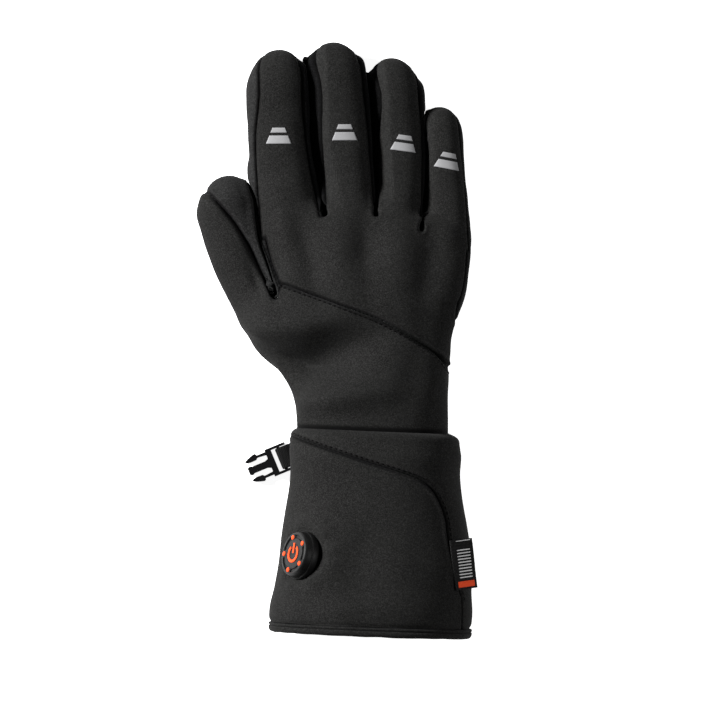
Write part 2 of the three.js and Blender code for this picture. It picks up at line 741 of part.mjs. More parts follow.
// The webbing runs flat from under the cuff and folds round the buckle's bar.
function webbingTab(place, barMiddle) {
  const halfWidth = buckleWidth / 2 - railWidth - seatGap;
  const eye = barThickness / 2 + seatGap;
  const outer = eye + webbing;
  const nose = barSetBack + barWidth + seatGap;
  const tail = barSetBack - seatGap;
  const flatTab = box([-tabLength, -halfWidth, barMiddle - outer], [nose + webbing, halfWidth, barMiddle + outer], place);
  const eyeHole = box([tail, -farAway, barMiddle - eye], [nose, farAway, barMiddle + eye], place);
  const thinning = [-1, 1].map((side) => {
    const far = side * farAway;
    const near = side * (webbing + seatGap / 2);
    const [low, high] = [near, far].sort((a, b) => a - b);
    return box([-farAway, -farAway, barMiddle + low], [tail - 2, farAway, barMiddle + high], place);
  });
  const cuffOutside = cuffLoft(cuffSections.map((row) => row.down), seatGap, cuffSides);
  return part("webbing_tab", takeAway(flatTab, [eyeHole, ...thinning, cuffOutside]), woven);
}

// The label is held at its inner edge in the cuff's seam and stands off its curved side.
function labelPart() {
  const start = sectionPoint(cuffSection(labelDown, 0), radians(labelTurn));
  const place = new THREE.Matrix4()
    .makeTranslation(start.x, start.y, start.z)
    .multiply(new THREE.Matrix4().makeRotationZ(radians(labelSwing)))
    .multiply(new THREE.Matrix4().makeRotationY(radians(labelSlope)));
  const lift = seatGap + 0.4;
  const plate = box([0, -labelLength / 2, lift], [labelWidth, labelLength / 2, lift + labelThickness], place);
  return part("side_label", plate, woven);
}

// Reflective marks: two bands of a tapered mark, laid on each finger's top panel.
function markParts(finger) {
  const layer = fingerSolid(finger, seatGap + markThickness, fingerSides)
    .subtract(fingerSolid(finger, seatGap, fingerSides));
  const turn = radians(finger.markTurn);
  const middle = fingerPoint(finger, finger.mark * finger.length, finger.markAside);
  const widthAt = (height) => lerp(markBottomWidth, markTopWidth, height / markLength);
  const band = (low, high) =>
    [[-widthAt(low), low], [widthAt(low), low], [widthAt(high), high], [-widthAt(high), high]].map(([width, y]) =>
      new THREE.Vector2(width / 2, y - markLength / 2).rotateAround(new THREE.Vector2(), turn).add(middle),
    );
  const upperStart = markLength - markUpperLength;
  return [
    ["lower", 0, upperStart - markSlot],
    ["upper", upperStart, markLength],
  ].map(([name, low, high]) =>
    part(`mark_${finger.name}_${name}`, layer.intersect(prism(band(low, high), finger.height / 2)), reflective),
  );
}

const glove = new THREE.Group();
glove.add(...handPanels(), ...cuffParts(), ...fingers.flatMap(markParts));

export default glove;
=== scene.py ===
"""Dresses a padded right-hand glove with a long flared cuff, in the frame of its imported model."""

import logging
import math
from dataclasses import dataclass, field
from enum import Enum
from typing import Callable, Sequence

import bpy
import numpy as np
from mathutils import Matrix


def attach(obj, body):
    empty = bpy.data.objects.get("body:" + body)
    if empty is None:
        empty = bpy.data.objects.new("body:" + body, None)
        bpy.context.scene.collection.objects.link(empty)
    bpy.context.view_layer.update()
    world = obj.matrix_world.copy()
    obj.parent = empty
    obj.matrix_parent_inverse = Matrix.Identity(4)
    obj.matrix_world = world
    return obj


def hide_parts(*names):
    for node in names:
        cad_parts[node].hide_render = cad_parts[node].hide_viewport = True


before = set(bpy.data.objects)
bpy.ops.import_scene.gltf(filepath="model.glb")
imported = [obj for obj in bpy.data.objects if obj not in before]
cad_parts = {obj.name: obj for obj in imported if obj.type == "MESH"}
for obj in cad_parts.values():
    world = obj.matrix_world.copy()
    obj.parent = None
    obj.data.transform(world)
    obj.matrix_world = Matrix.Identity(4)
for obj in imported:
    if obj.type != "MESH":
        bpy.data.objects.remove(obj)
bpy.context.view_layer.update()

import openvdb
from mathutils import Matrix, Vector
from mathutils.bvhtree import BVHTree
from mathutils.kdtree import KDTree

MM = 0.001
BODY = "root"
log = logging.getLogger("glove")

Array = np.ndarray
Piece = bpy.types.Object
Material = bpy.types.Material
Tree = bpy.types.NodeTree
Node = bpy.types.Node
Socket = bpy.types.NodeSocket
Rows = Sequence[tuple[float, ...]]
Region = Callable[[Array], Array]

# Sizes that several pieces share, in millimetres, and shares of them
RIM_Y = -68.0
PALM_LENGTH = 122.6
PALM_WIDTH = 120.0
PALM_HEIGHT = 36.0
WRIST_HEIGHT = 56.0
CUFF_LENGTH = 114.7
CUFF_WIDTH = 113.4
CUFF_HEIGHT = 78.0
CUFF_MIDDLE = 5.6
SIDE_SHARE = 0.44
CROWN_FULLNESS = 0.86
CROWN_POWER = 2 / CROWN_FULLNESS
PRESSING = 1.08
UNDERSIDE_ROUND = 1.6

# How surfaces are evened out and moved onto seams
SMOOTHING, SWELLING = 0.5, 0.52
SLIDE_ROUNDS = 3
LONGEST_SLIDE = 0.6
NUDGE = 0.15
GENTLEST_SLOPE = 0.15


# Numbers and curves


def smooth_table(stations: Sequence[float], values: Sequence[float], at: Array) -> Array:
    """Reads a short table along one smooth curve.

    Args:
        stations: Rising stations.
        values: The value at each station.
        at: Where to read it.

    Returns:
        The value at each place asked for, held level beyond the table's ends.
    """
    x, y = np.asarray(stations, float), np.asarray(values, float)
    slope = np.gradient(y, x)
    i = np.clip(np.searchsorted(x, at) - 1, 0, len(x) - 2)
    step = x[i + 1] - x[i]
    t = np.clip((at - x[i]) / step, 0, 1)
    low = (2 * t**3 - 3 * t**2 + 1) * y[i] + (t**3 - 2 * t**2 + t) * step * slope[i]
    return low + (-2 * t**3 + 3 * t**2) * y[i + 1] + (t**3 - t**2) * step * slope[i + 1]


def smooth_line(points: Rows, steps: int) -> Array:
    """Draws one smooth line through a few points.

    Args:
        points: The points, in order.
        steps: How many points come out between each two.

    Returns:
        The line's points.
    """
    knots = np.asarray(points, float)
    along = np.arange(len(knots), dtype=float)
    at = np.linspace(0, len(knots) - 1, (len(knots) - 1) * steps + 1)
    return np.stack([smooth_table(along, column, at) for column in knots.T], axis=-1)


def palm_points(shares: Rows) -> Array:
    """Turns shares of the palm's width and length into millimetres."""
    return np.array([(across * PALM_WIDTH, RIM_Y + up * PALM_LENGTH) for across, up in shares])


def cuff_points(shares: Rows) -> Array:
    """Turns shares of the cuff's width and length into millimetres."""
    return np.array(
        [(CUFF_MIDDLE + across * CUFF_WIDTH, RIM_Y - down * CUFF_LENGTH) for across, down in shares]
    )


def blend_low(a: Array, b: Array, radius: float) -> Array:
    """The lower of two distance fields, rounded over a radius where they meet."""
    share = np.clip(0.5 + 0.5 * (b - a) / radius, 0, 1)
    return b + (a - b) * share - radius * share * (1 - share)


def blend_high(a: Array, b: Array, radius: float) -> Array:
    """The higher of two distance fields, rounded over a radius where they meet."""
    return -blend_low(-a, -b, radius)


@dataclass(frozen=True)
class Ramp:
    """A smooth step from 0 at its start to 1 at its end."""

    start: float
    end: float

    def at(self, value: Array | float) -> Array:
        """How far up the step these values are."""
        t = np.clip((value - self.start) / (self.end - self.start), 0, 1)
        return t * t * (3 - 2 * t)


@dataclass(frozen=True)
class Relief:
    """A bell-shaped rise at a distance from a line, in millimetres."""

    height: float
    width: float
    away: float = 0.0

    def at(self, distance: Array | float) -> Array:
        """The rise at these distances from the line."""
        return self.height * np.exp(-(((distance - self.away) / self.width) ** 2))


def relief(reliefs: Sequence[Relief], distance: Array | float) -> Array:
    """The sum of several rises at these distances from one line."""
    return sum(one.at(distance) for one in reliefs)


def path_run(points: Array) -> Array:
    """How far along a path each of its points lies."""
    return np.concatenate([[0], np.cumsum(np.linalg.norm(np.diff(points, axis=0), axis=1))])


def unit(vectors: Array) -> Array:
    """Scales vectors to a length of 1."""
    return vectors / np.linalg.norm(vectors, axis=-1, keepdims=True)


def line_distance(x: Array, y: Array, line: Array) -> tuple[Array, Array, Array]:
    """Measures plan points against an open line.

    Args:
        x: The points' x.
        y: The points' y.
        line: The line's points.

    Returns:
        The distance, the side (+1 to the right of the line's way) and the distance run along it.
    """
    best = np.full(x.shape, np.inf)
    side = np.ones(x.shape)
    run = np.zeros(x.shape)
    start = 0.0
    for (ax, ay), (bx, by) in zip(line[:-1], line[1:]):
        ex, ey = bx - ax, by - ay
        length = math.hypot(ex, ey)
        t = np.clip(((x - ax) * ex + (y - ay) * ey) / length**2, 0, 1)
        away = np.hypot(x - ax - t * ex, y - ay - t * ey)
        nearer = away < best
        best = np.where(nearer, away, best)
        side = np.where(nearer, np.where(ex * (y - ay) - ey * (x - ax) < 0, 1.0, -1.0), side)
        run = np.where(nearer, start + t * length, run)
        start += length
    return best, side, run


def plan_distance(x: Array, y: Array, outline: Array) -> Array:
    """The signed distance of plan points to a closed outline, below zero inside it."""
    away, _, _ = line_distance(x, y, np.vstack([outline, outline[:1]]))
    inside = np.zeros(x.shape, bool)
    for (ax, ay), (bx, by) in zip(outline, np.roll(outline, -1, axis=0)):
        if ay == by:
            continue
        crosses = (ay > y) != (by > y)
        inside ^= crosses & (x < (bx - ax) * (y - ay) / (by - ay) + ax)
    return np.where(inside, -away, away)


# Meshes


@dataclass
class Skin:
    """A surface of four-sided faces, in millimetres."""

    points: Array
    quads: Array

    def normals(self) -> Array:
        """The outward normal at each point."""
        corners = self.points[self.quads]
        face = np.cross(corners[:, 2] - corners[:, 0], corners[:, 3] - corners[:, 1])
        normal = np.zeros_like(self.points)
        for corner in range(4):
            np.add.at(normal, self.quads[:, corner], face)
        return normal / np.maximum(np.linalg.norm(normal, axis=1, keepdims=True), 1e-9)

    def edges(self) -> Array:
        """The two points of every side of every face."""
        return np.vstack([self.quads[:, [i, (i + 1) % 4]] for i in range(4)])

    def centres(self) -> Array:
        """The middle of each face."""
        return self.points[self.quads].mean(axis=1)

    def tree(self) -> BVHTree:
        """A search tree of the surface, in metres."""
        return BVHTree.FromPolygons((self.points * MM).tolist(), self.quads.tolist())

    def face_outwards(self) -> None:
        """Turns the faces over where the surface was wound inside out."""
        away = self.points - self.points.mean(axis=0)
        if (self.normals() * away * (1, 0, 1)).sum() < 0:
            self.quads = self.quads[:, ::-1]

    def relax(self, rounds: int, share: Array | float = 1.0) -> None:
        """Evens out the surface with little shrinking.

        Args:
            rounds: How many times.
            share: How much of each move a point takes.
        """
        total = len(self.points)
        edges = np.unique(np.sort(self.edges(), axis=1), axis=0)
        count = np.bincount(edges.ravel(), minlength=total)[:, None]
        weight = np.broadcast_to(np.asarray(share, float), (total,))[:, None]
        for _ in range(rounds):
            for strength in (SMOOTHING, -SWELLING):
                across = self.points[edges[:, ::-1]].reshape(-1, 3)
                sums = [np.bincount(edges.ravel(), side, minlength=total) for side in across.T]
                around = np.stack(sums, axis=1)
                self.points += strength * weight * (around / np.maximum(count, 1) - self.points)

    def slide(self, rows: Array, normals: Array, region: Region, spacing: float) -> None:
        """Slides points along the surface onto the edge of a region.

        Args:
            rows: The points' numbers.
            normals: The surface's normals.
            region: The region's signed distance.
            spacing: The distance between points, which limits a step.
        """
        for _ in range(SLIDE_ROUNDS):
            spot = self.points[rows]
            nudges = NUDGE * np.eye(3)
            sides = [region(spot + nudge) - region(spot - nudge) for nudge in nudges]
            slope = np.stack(sides, axis=1) / (2 * NUDGE)
            slope -= normals[rows] * (slope * normals[rows]).sum(axis=1, keepdims=True)
            steepness = np.maximum((slope**2).sum(axis=1, keepdims=True), GENTLEST_SLOPE)
            step = -region(spot)[:, None] * slope / steepness
            long = np.linalg.norm(step, axis=1, keepdims=True) / (LONGEST_SLIDE * spacing)
            self.points[rows] += step / np.maximum(long, 1)

    def piece_of(self, faces: Array) -> tuple["Skin", Array]:
        """Takes some faces out as a skin of their own.

        Args:
            faces: A mask over the faces.

        Returns:
            The skin, and the old index of each of its points.
        """
        kept, index = np.unique(self.quads[faces], return_inverse=True)
        return Skin(self.points[kept].copy(), index.reshape(-1, 4)), kept


def ring_quads(rows: int, count: int, closed: bool = False) -> Array:
    """The faces between rings of points, and from the last ring to the first one when closed."""
    index = np.arange(rows * count).reshape(rows, count)
    below, after = np.roll(index, -1, axis=0), np.roll(index, -1, axis=1)
    quads = np.stack([index, below, np.roll(below, -1, axis=1), after], axis=-1)
    return (quads if closed else quads[:-1]).reshape(-1, 4)


def grid_quads(rows: int, columns: int) -> Array:
    """The faces of a grid of points."""
    index = np.arange(rows * columns).reshape(rows, columns)
    corners = [index[:-1, :-1], index[:-1, 1:], index[1:, 1:], index[1:, :-1]]
    return np.stack(corners, axis=-1).reshape(-1, 4)


def new_object(name: str, points: Array, faces: Array | list, *materials: Material) -> Piece:
    """Makes a smooth mesh object at the origin.

    Args:
        name: The piece's name.
        points: Its points, in millimetres.
        faces: Its faces, as rows of point numbers.
        materials: Its finishes, the main one first.

    Returns:
        The object.
    """
    mesh = bpy.data.meshes.new(name)
    rows = faces.tolist() if isinstance(faces, np.ndarray) else faces
    mesh.from_pydata((np.asarray(points) * MM).tolist(), [], rows)
    mesh.validate()
    for material in materials:
        mesh.materials.append(material)
    piece = bpy.data.objects.new(name, mesh)
    bpy.context.scene.collection.objects.link(piece)
    mesh.shade_smooth()
    return piece


def choose(*pieces: Piece) -> None:
    """Selects these objects alone and makes the first one active."""
    bpy.ops.object.select_all(action="DESELECT")
    for piece in pieces:
        piece.select_set(True)
    bpy.context.view_layer.objects.active = pieces[0]


def apply_modifier(piece: Piece, kind: str, **settings: object) -> None:
    """Adds one modifier to a piece and applies it.

    Args:
        piece: The piece.
        kind: Blender's name for the modifier.
        settings: Its settings.
    """
    choose(piece)
    modifier = piece.modifiers.new(kind.title(), kind)
    for key, value in settings.items():
        setattr(modifier, key, value)
    bpy.ops.object.modifier_apply(modifier=modifier.name)


def seat(piece: Piece, slot: str, *nodes: str) -> None:
    """Lets a piece ride on the glove's body and stand for the nodes that it replaces."""
    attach(piece, BODY)
    if nodes:
        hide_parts(*nodes)
    log.info("%s: %d faces", piece.name, len(piece.data.polygons))


# The hand's shape


@dataclass(frozen=True)
class Digit:
    """A finger or the thumb: its place as shares of the palm, its sizes in mm and degrees."""

    name: str
    across: float
    up: float
    lean: float
    bow: float
    length: float
    tip: float
    root_width: float
    width: float
    height: float
    thumb_side_inset: tuple[float, float, float] = (0, 0, 0)
    far_side_inset: tuple[float, float, float] = (0, 0, 0)

    def axis(self) -> tuple[float, float, float, float]:
        """The root's plan point, and the cosine and the sine of the lean."""
        (x, y), lean = palm_points([(self.across, self.up)])[0], math.radians(self.lean)
        return x, y, math.cos(lean), math.sin(lean)

    def bowed(self, along: Array) -> Array:
        """How far the middle line bows aside at a distance from the root."""
        share = np.clip(along / self.length, 0, 1)
        return self.bow * 4 * share * (1 - share)

    def frame(self, x: Array, y: Array) -> tuple[Array, Array]:
        """Places plan points along the digit.

        Args:
            x: The points' x.
            y: The points' y.

        Returns:
            The distance from the root and the offset from the bowed middle line.
        """
        root_x, root_y, cos, sin = self.axis()
        along = (y - root_y) * cos - (x - root_x) * sin
        aside = (x - root_x) * cos + (y - root_y) * sin
        return along, aside - self.bowed(along)

    def place(self, along: Array, aside: Array) -> Array:
        """The plan point at a distance along the digit and an offset from its middle line."""
        root_x, root_y, cos, sin = self.axis()
        out = aside + self.bowed(along)
        x, y = root_x + out * cos - along * sin, root_y + out * sin + along * cos
        return np.stack([x, y], axis=-1)

    def half_width(self, along: Array) -> Array:
        """Half of the digit's width at a distance from its root."""
        spread = smooth_table([-0.3, 0, 0.24, 0.45, 1], [0, 0, 0.6, 1, 1], along / self.length)
        return (self.root_width + (self.width - self.root_width) * spread) / 2

    def field(self, x: Array, y: Array, z: Array) -> Array:
        """The digit's distance field over plan grids x and y and heights z."""
        along, aside = self.frame(x, y)
        stations, heights = (-0.3, 0.03, 0.24, 1), (1.06, 1.06, 1, 1)
        top = self.height * smooth_table(stations, heights, along / self.length)
        side = np.full(top.shape, self.height * SIDE_SHARE)
        root_reach = 0.2 * self.length
        tip_end = np.maximum(0, along - (self.length - self.tip)) / self.tip
        root_end = np.maximum(0, -0.3 * root_reach - along) / root_reach
        ends = np.where(tip_end > 0, tip_end, root_end)
        reach = np.where(tip_end > 0, self.tip, root_reach)
        return section_field(aside, z, self.half_width(along), 0 * top, side, top, ends, reach)

    def top_outline(self) -> Array:
        """The plan of the top panel, inside the digit's outline by the seams' insets."""
        tip_start, tip = self.length - self.tip, self.tip + 0.8
        angles = np.radians([0, 15, 30, 43, 55, 66, 76, 84])
        straight = np.linspace(-0.2, 0.98, 12) * tip_start
        along = np.concatenate([straight, tip_start + tip * np.sin(angles)])
        size = np.concatenate([np.ones(len(straight)), np.cos(angles)])
        share = np.clip(along / self.length, 0, 1)
        stations = [0, 0.45, 0.85, 1]
        far, near = (
            (self.half_width(along) - smooth_table(stations, insets, share)) * size
            for insets in ((*self.far_side_inset, -0.3), (*self.thumb_side_inset, 0.0))
        )
        return np.vstack([self.place(along, far), self.place(along, -near)[::-1]])


def section_field(
    aside: Array,
    z: Array,
    half: Array,
    bottom: Array,
    side: Array,
    top: Array,
    ends: Array,
    reach: Array,
) -> Array:
    """The distance to a soft section: a full crown over an underside that is pressed flat.

    Args:
        aside: The offset from the middle, over the plan.
        z: Heights.
        half: Half of the width.
        bottom: The height of the flat underside.
        side: The height where it is widest.
        top: The height of the crown.
        ends: How far the section has closed towards an end, from 0 to 1 there.
        reach: The length over which it closes.

    Returns:
        The distance field over the plan and the heights.
    """
    aside, half, bottom, side, top, ends, reach = (
        np.asarray(value, np.float32)[..., None]
        for value in (aside, half, bottom, side, top, ends, reach)
    )
    above = np.maximum(z - side, 0) / (top - side)
    sunk = np.clip((side - z) / (side - bottom), 0, 1) / PRESSING
    upright = np.where(z > side, above, 1 - np.sqrt(1 - sunk))
    round_size = (np.abs(aside) / half) ** CROWN_POWER + upright**CROWN_POWER
    size = np.maximum(np.sqrt(round_size ** (2 / CROWN_POWER) + ends**2), 0.02)
    away = np.sqrt(aside**2 + (z - side) ** 2 + (ends * reach) ** 2)
    return blend_high(away * (1 - 1 / size), bottom - z, UNDERSIDE_ROUND)


@dataclass(frozen=True)
class Crease:
    """A slot where two digits press together, from the crotch outwards, as shares of the palm."""

    name: str
    points: Rows
    lean: float
    keyhole: Relief = Relief(0.5, 3.5)
    shoulders: tuple[float, float] = (2.2, 7.8)
    level: float = 14.0
    web: float = 13.0
    web_slope: float = 1.1
    gap: float = 0.95

    def measure(self, x: Array, y: Array, z: Array) -> tuple[Array, Array, Array]:
        """Measures points against the leaning slot.

        Args:
            x: The points' x.
            y: The points' y.
            z: The points' z.

        Returns:
            The distance, the side and the distance run from the crotch.
        """
        line = smooth_line(palm_points(self.points), 5)
        return line_distance(x - self.lean * (z - self.level), y, line)


@dataclass(frozen=True)
class Fold:
    """A soft dent, or a ridge where its depth is below zero, on the upper side."""

    x: float
    y: float
    length: float
    width: float
    turn: float
    depth: float

    def sink(self, points: Array) -> Array:
        """How far each point sinks."""
        turn = math.radians(self.turn)
        dx, dy = points[:, 0] - self.x, points[:, 1] - self.y
        along = (dx * math.cos(turn) + dy * math.sin(turn)) / self.length
        across = (dy * math.cos(turn) - dx * math.sin(turn)) / self.width
        return self.depth * np.exp(-(along**2) - across**2)


def panel_field(points: Array, outline: Array, floor: Array) -> Array:
    """The signed distance to an upright region over a floor, below zero inside it.

    Args:
        points: The points to measure.
        outline: The region's plan.
        floor: The height above which the region counts, at each point.

    Returns:
        The distance at each point.
    """
    return np.maximum(plan_distance(points[:, 0], points[:, 1], outline), floor - points[:, 2])


def walled(outside: Skin, inside: Array) -> tuple[Array, Array]:
    """Gives a skin its wall: the skin, its lining the other way round, and the edge between them.

    Args:
        outside: The outer skin.
        inside: The lining's point under each of the skin's points.

    Returns:
        The points and the faces of the closed wall.
    """
    count = len(outside.points)
    edges = outside.edges()
    pairs = np.sort(edges, axis=1)
    _, index, times = np.unique(pairs, axis=0, return_index=True, return_counts=True)
    start, end = edges[index[times == 1]].T
    rim = np.column_stack([end, start, start + count, end + count])
    faces = np.vstack([outside.quads, outside.quads[:, ::-1] + count, rim])
    return np.vstack([outside.points, inside]), faces


def nearest_distance(points: Array, targets: Array) -> Array:
    """The distance from each point to the nearest target."""
    tree = KDTree(len(targets))
    for index, target in enumerate(targets):
        tree.insert(target, index)
    tree.balance()
    return np.array([tree.find(point)[2] for point in points])


def unevenness(points: Array, size: float, seed: int) -> Array:
    """A gentle, fixed unevenness between about -1 and 1, with lumps of a size."""
    rng = np.random.default_rng(seed)
    waves = 7
    ways = unit(rng.normal(size=(waves, 3)))
    scales = rng.uniform(0.7, 1.5, waves) * 2 * math.pi / size
    starts = rng.uniform(0, 2 * math.pi, waves)
    return np.sin(points @ (ways * scales[:, None]).T + starts).sum(axis=1) / 3.2


def lumps(points: Array, rows: Rows) -> Array:
    """Sums gentle lumps, each row giving their height, their size and a seed."""
    return sum(height * unevenness(points, size, seed) for height, size, seed in rows)


@dataclass
class Seams:
    """The lines that part the hand into panels."""

    hand: Rows = (
        (-0.402, 0.68), (-0.296, 0.643), (-0.103, 0.573), (0.089, 0.498),
        (0.282, 0.391), (0.347, 0.344), (0.396, 0.285), (0.47, 0.18),
    )
    far_side: Rows = (
        (0.46, 0.33), (0.433, 0.43), (0.428, 0.51), (0.437, 0.578),
        (0.453, 0.62), (0.473, 0.716), (0.4836, 0.918), (0.47, 0.99),
    )
    thumb_side: Rows = (
        (-0.475, 0.985), (-0.4836, 0.945), (-0.462, 0.86), (-0.438, 0.77), (-0.415, 0.715),
    )
    thumb: Rows = (
        (-0.422, 0.61), (-0.498, 0.752), (-0.549, 0.858), (-0.62, 0.968),
        (-0.695, 1.051), (-0.746, 1.1), (-0.795, 1.1), (-0.86, 1.04),
    )
    wrist_outline: Rows = (
        (-1.2, 1.04), (-1.2, -0.6), (1, -0.6), (1, 0.1), (0.44, 0.3), (0, 0.6), (-0.38, 0.7),
    )
    side_heights: Rows = ((-0.4, 0.5), (0.2, 0.5), (0.55, 0.38), (1, 0.3), (2.2, 0.27))
    gusset_reach: float = 11.5
    gusset_level: float = 5.0

    def side_level(self, y: Array) -> Array:
        """The height of the side seam at a place along the hand."""
        stations, shares = np.array(self.side_heights).T
        return smooth_table(stations, shares, (y - RIM_Y) / PALM_LENGTH) * PALM_HEIGHT


class Panel(Enum):
    """The hand's panels, the upper one first where two could claim a face."""

    BACK = "back_panel"
    WRIST = "wrist_panel"
    THUMB = "thumb_panel"
    INDEX_MIDDLE = "gusset_index_middle"
    MIDDLE_RING = "gusset_middle_ring"
    RING_LITTLE = "gusset_ring_little"
    PALM = "palm_panel"


@dataclass
class HandShell:
    """The hand: one soft form of palm, wrist, fingers and thumb, parted into padded panels."""

    voxel: float
    wall: float = 2.6
    lowest_lining: float = 1.6
    rear: float = -82.0
    slot_round: float = 2.4
    thumb_round: float = 8.0
    finger_round: float = 4.0
    sections: Rows = (
        (0.03, -0.319, 0.39, 0, 1, 1), (0.127, -0.328, 0.39, 0, 0.95, 1),
        (0.2, -0.353, 0.392, 0, 0.85, 1), (0.27, -0.399, 0.394, 0, 0.72, 1),
        (0.343, -0.452, 0.399, 0, 0.6, 1), (0.417, -0.508, 0.406, 0, 0.5, 1),
        (0.486, -0.562, 0.4225, 0, 0.42, 1), (0.6, -0.53, 0.465, 0, 0.3, 1),
        (0.738, -0.446, 0.4865, -0.02, 0.18, 0.98), (0.853, -0.483, 0.499, -0.05, 0.08, 0.93),
        (0.95, -0.505, 0.495, -0.08, 0, 0.86), (1.02, -0.49, 0.48, -0.1, 0, 0.77),
    )
    wrist_climb: float = 0.27
    rim_lift: float = 4.8
    palm_end: float = 10.0
    digits: tuple[Digit, ...] = (
        Digit(
            "index", -0.357, 1.005, 3.9, -2.8, 91.8, 24, 38, 35.6, 26,
            (2.4, 4, 6.2), (1.8, 2.8, 2.5),
        ),
        Digit(
            "middle", -0.073, 1.014, 6.1, 0, 95, 20, 31, 34, 26.5,
            (2.2, 5.4, 6.6), (1.1, 1.7, 1.4),
        ),
        Digit(
            "ring", 0.155, 0.977, 2.6, 1.9, 90.2, 18.6, 28, 30.4, 25,
            (2, 3.4, 5.9), (0.9, 1.2, 1.2),
        ),
        Digit(
            "little", 0.376, 0.913, 3.3, 1.9, 70.8, 14, 29, 23.4, 22.5,
            (1.4, 1.6, 2), (1.6, 1, 0.9),
        ),
    )
    thumb: Digit = Digit("thumb", -0.411, 0.499, 22.3, -4.0, 87.6, 18, 35, 35.4, 27)
    creases: tuple[Crease, ...] = (
        Crease(
            "gusset_index_middle",
            (
                (-0.197, 1), (-0.221, 1.123), (-0.26, 1.326), (-0.265, 1.516), (-0.272, 1.63),
                (-0.277, 1.85),
            ),
            0.09,
        ),
        Crease(
            "gusset_middle_ring",
            (
                (0.042, 1), (0.042, 1.123), (0.03, 1.326), (0.021, 1.516), (0.009, 1.607),
                (-0.012, 1.85),
            ),
            0.09,
        ),
        Crease(
            "gusset_ring_little",
            (
                (0.256, 0.926), (0.27, 1.022), (0.281, 1.223), (0.284, 1.378), (0.286, 1.46),
                (0.29, 1.8),
            ),
            0.09,
            shoulders=(2.5, 3.5),
        ),
        Crease(
            "thumb",
            (
                (-0.408, 0.633), (-0.422, 0.692), (-0.455, 0.784), (-0.486, 0.867),
                (-0.507, 0.968), (-0.517, 1.06), (-0.545, 1.13), (-0.6, 1.3),
            ),
            -0.12,
            Relief(0, 3.5),
            (1.4, 1.2),
        ),
    )
    seams: Seams = field(default_factory=Seams)
    folds: tuple[Fold, ...] = (
        Fold(-33, -31, 36, 11, 20, 13),
        Fold(-56, -6, 12, 8, 40, -3.0),
        Fold(-38, -9, 26, 8, 8, -5.0),
        Fold(-16, -52, 28, 8.5, 10, -6.2),
        Fold(28, -34, 24, 9, 72, 1.4),
        Fold(-32, 31, 7, 23, 14, 3.4),
        Fold(1, 33, 7, 22, 4, 2.5),
        Fold(36, 24, 8, 24, -8, 2.4),
        Fold(-15, 36, 7, 18, 8, -1.4),
        Fold(18, 32, 8, 18, -2, -1.3),
        Fold(-47, 34, 8, 18, 12, -1.0),
        Fold(-52.5, 9, 2.2, 7, 18, 1.1),
        Fold(-56.5, 11, 2.2, 7, 30, -1.2),
        Fold(-60, 15, 2.4, 8, 36, 1.0),
        Fold(-48.5, 12, 2, 7, 4, -0.8),
        Fold(-63, 26, 3.5, 16, 14, 0.9),
    )

    lumpiness: Rows = ((0.32, 46, 3), (0.14, 19, 4))
    crotch_bead: tuple[Relief, Relief] = (Relief(0.45, 1.1, 2.6), Relief(1, 5))
    hand_lip: Relief = Relief(0.7, 1.0, 1.5)
    hand_dip: Relief = Relief(0.9, 0.9)
    thumb_lip: Relief = Relief(0.5, 2.2, 3.2)
    thumb_dip: tuple[Relief, ...] = (Relief(0.9, 1.1), Relief(0.9, 4.5))
    swell: Relief = Relief(0.2, 1.4, 2.4)
    groove: tuple[Relief, ...] = (Relief(0.95, 0.75), Relief(0.2, 3))
    squeeze: float = 0.98
    squeeze_reach: Ramp = Ramp(4.5, 1.4)
    squeeze_start: Ramp = Ramp(2, 8)
    shoulder_fall: Ramp = Ramp(1.3, 0)
    shoulder_fullness: float = 0.6
    shoulder_start: Ramp = Ramp(2, 20)
    root_rounds: tuple[float, float] = (1.5, 11.5)
    root_inside: Ramp = Ramp(1, 16)
    upper_half: Ramp = Ramp(7.2, 16.8)
    facing_up: Ramp = Ramp(0.1, 0.75)
    past_cuff: Ramp = Ramp(RIM_Y + 2, RIM_Y + 22)
    off_table: Ramp = Ramp(0.6, 5)
    hand_seam_levels: Ramp = Ramp(12, 18)
    thumb_seam_levels: Ramp = Ramp(3, 8)
    seams_off_table: Ramp = Ramp(0.0, 1.4)
    # How far past the cuff's rim the painted shadow on the wrist reaches.
    painted_rim_shadow: Ramp = Ramp(3.4, 1.2)

    def palm_field(self, x: Array, y: Array, z: Array) -> tuple[Array, Array]:
        """The palm's and wrist's distance field, and how far inside its plan each place is."""
        up, thumb_side, far_side, slant, thickness, shrink = np.array(self.sections).T
        share = (y - RIM_Y) / PALM_LENGTH
        for _ in range(2):
            low = smooth_table(up, thumb_side, share) * PALM_WIDTH
            high = smooth_table(up, far_side, share) * PALM_WIDTH
            aside = x - (low + high) / 2
            share = (y - smooth_table(up, slant, share) * aside - RIM_Y) / PALM_LENGTH
        height = PALM_HEIGHT + (WRIST_HEIGHT - PALM_HEIGHT) * smooth_table(up, thickness, share)
        height = height * smooth_table(up, shrink, share)
        lift = np.clip(1.4 - 1.4 * share / self.wrist_climb, 0, 1) * self.rim_lift
        ends = np.maximum(0, share - 0.96) * PALM_LENGTH / self.palm_end
        side = lift + (height - lift) * SIDE_SHARE
        half = (high - low) / 2
        reach = np.full(ends.shape, self.palm_end)
        return section_field(aside, z, half, lift, side, height, ends, reach), half - np.abs(aside)

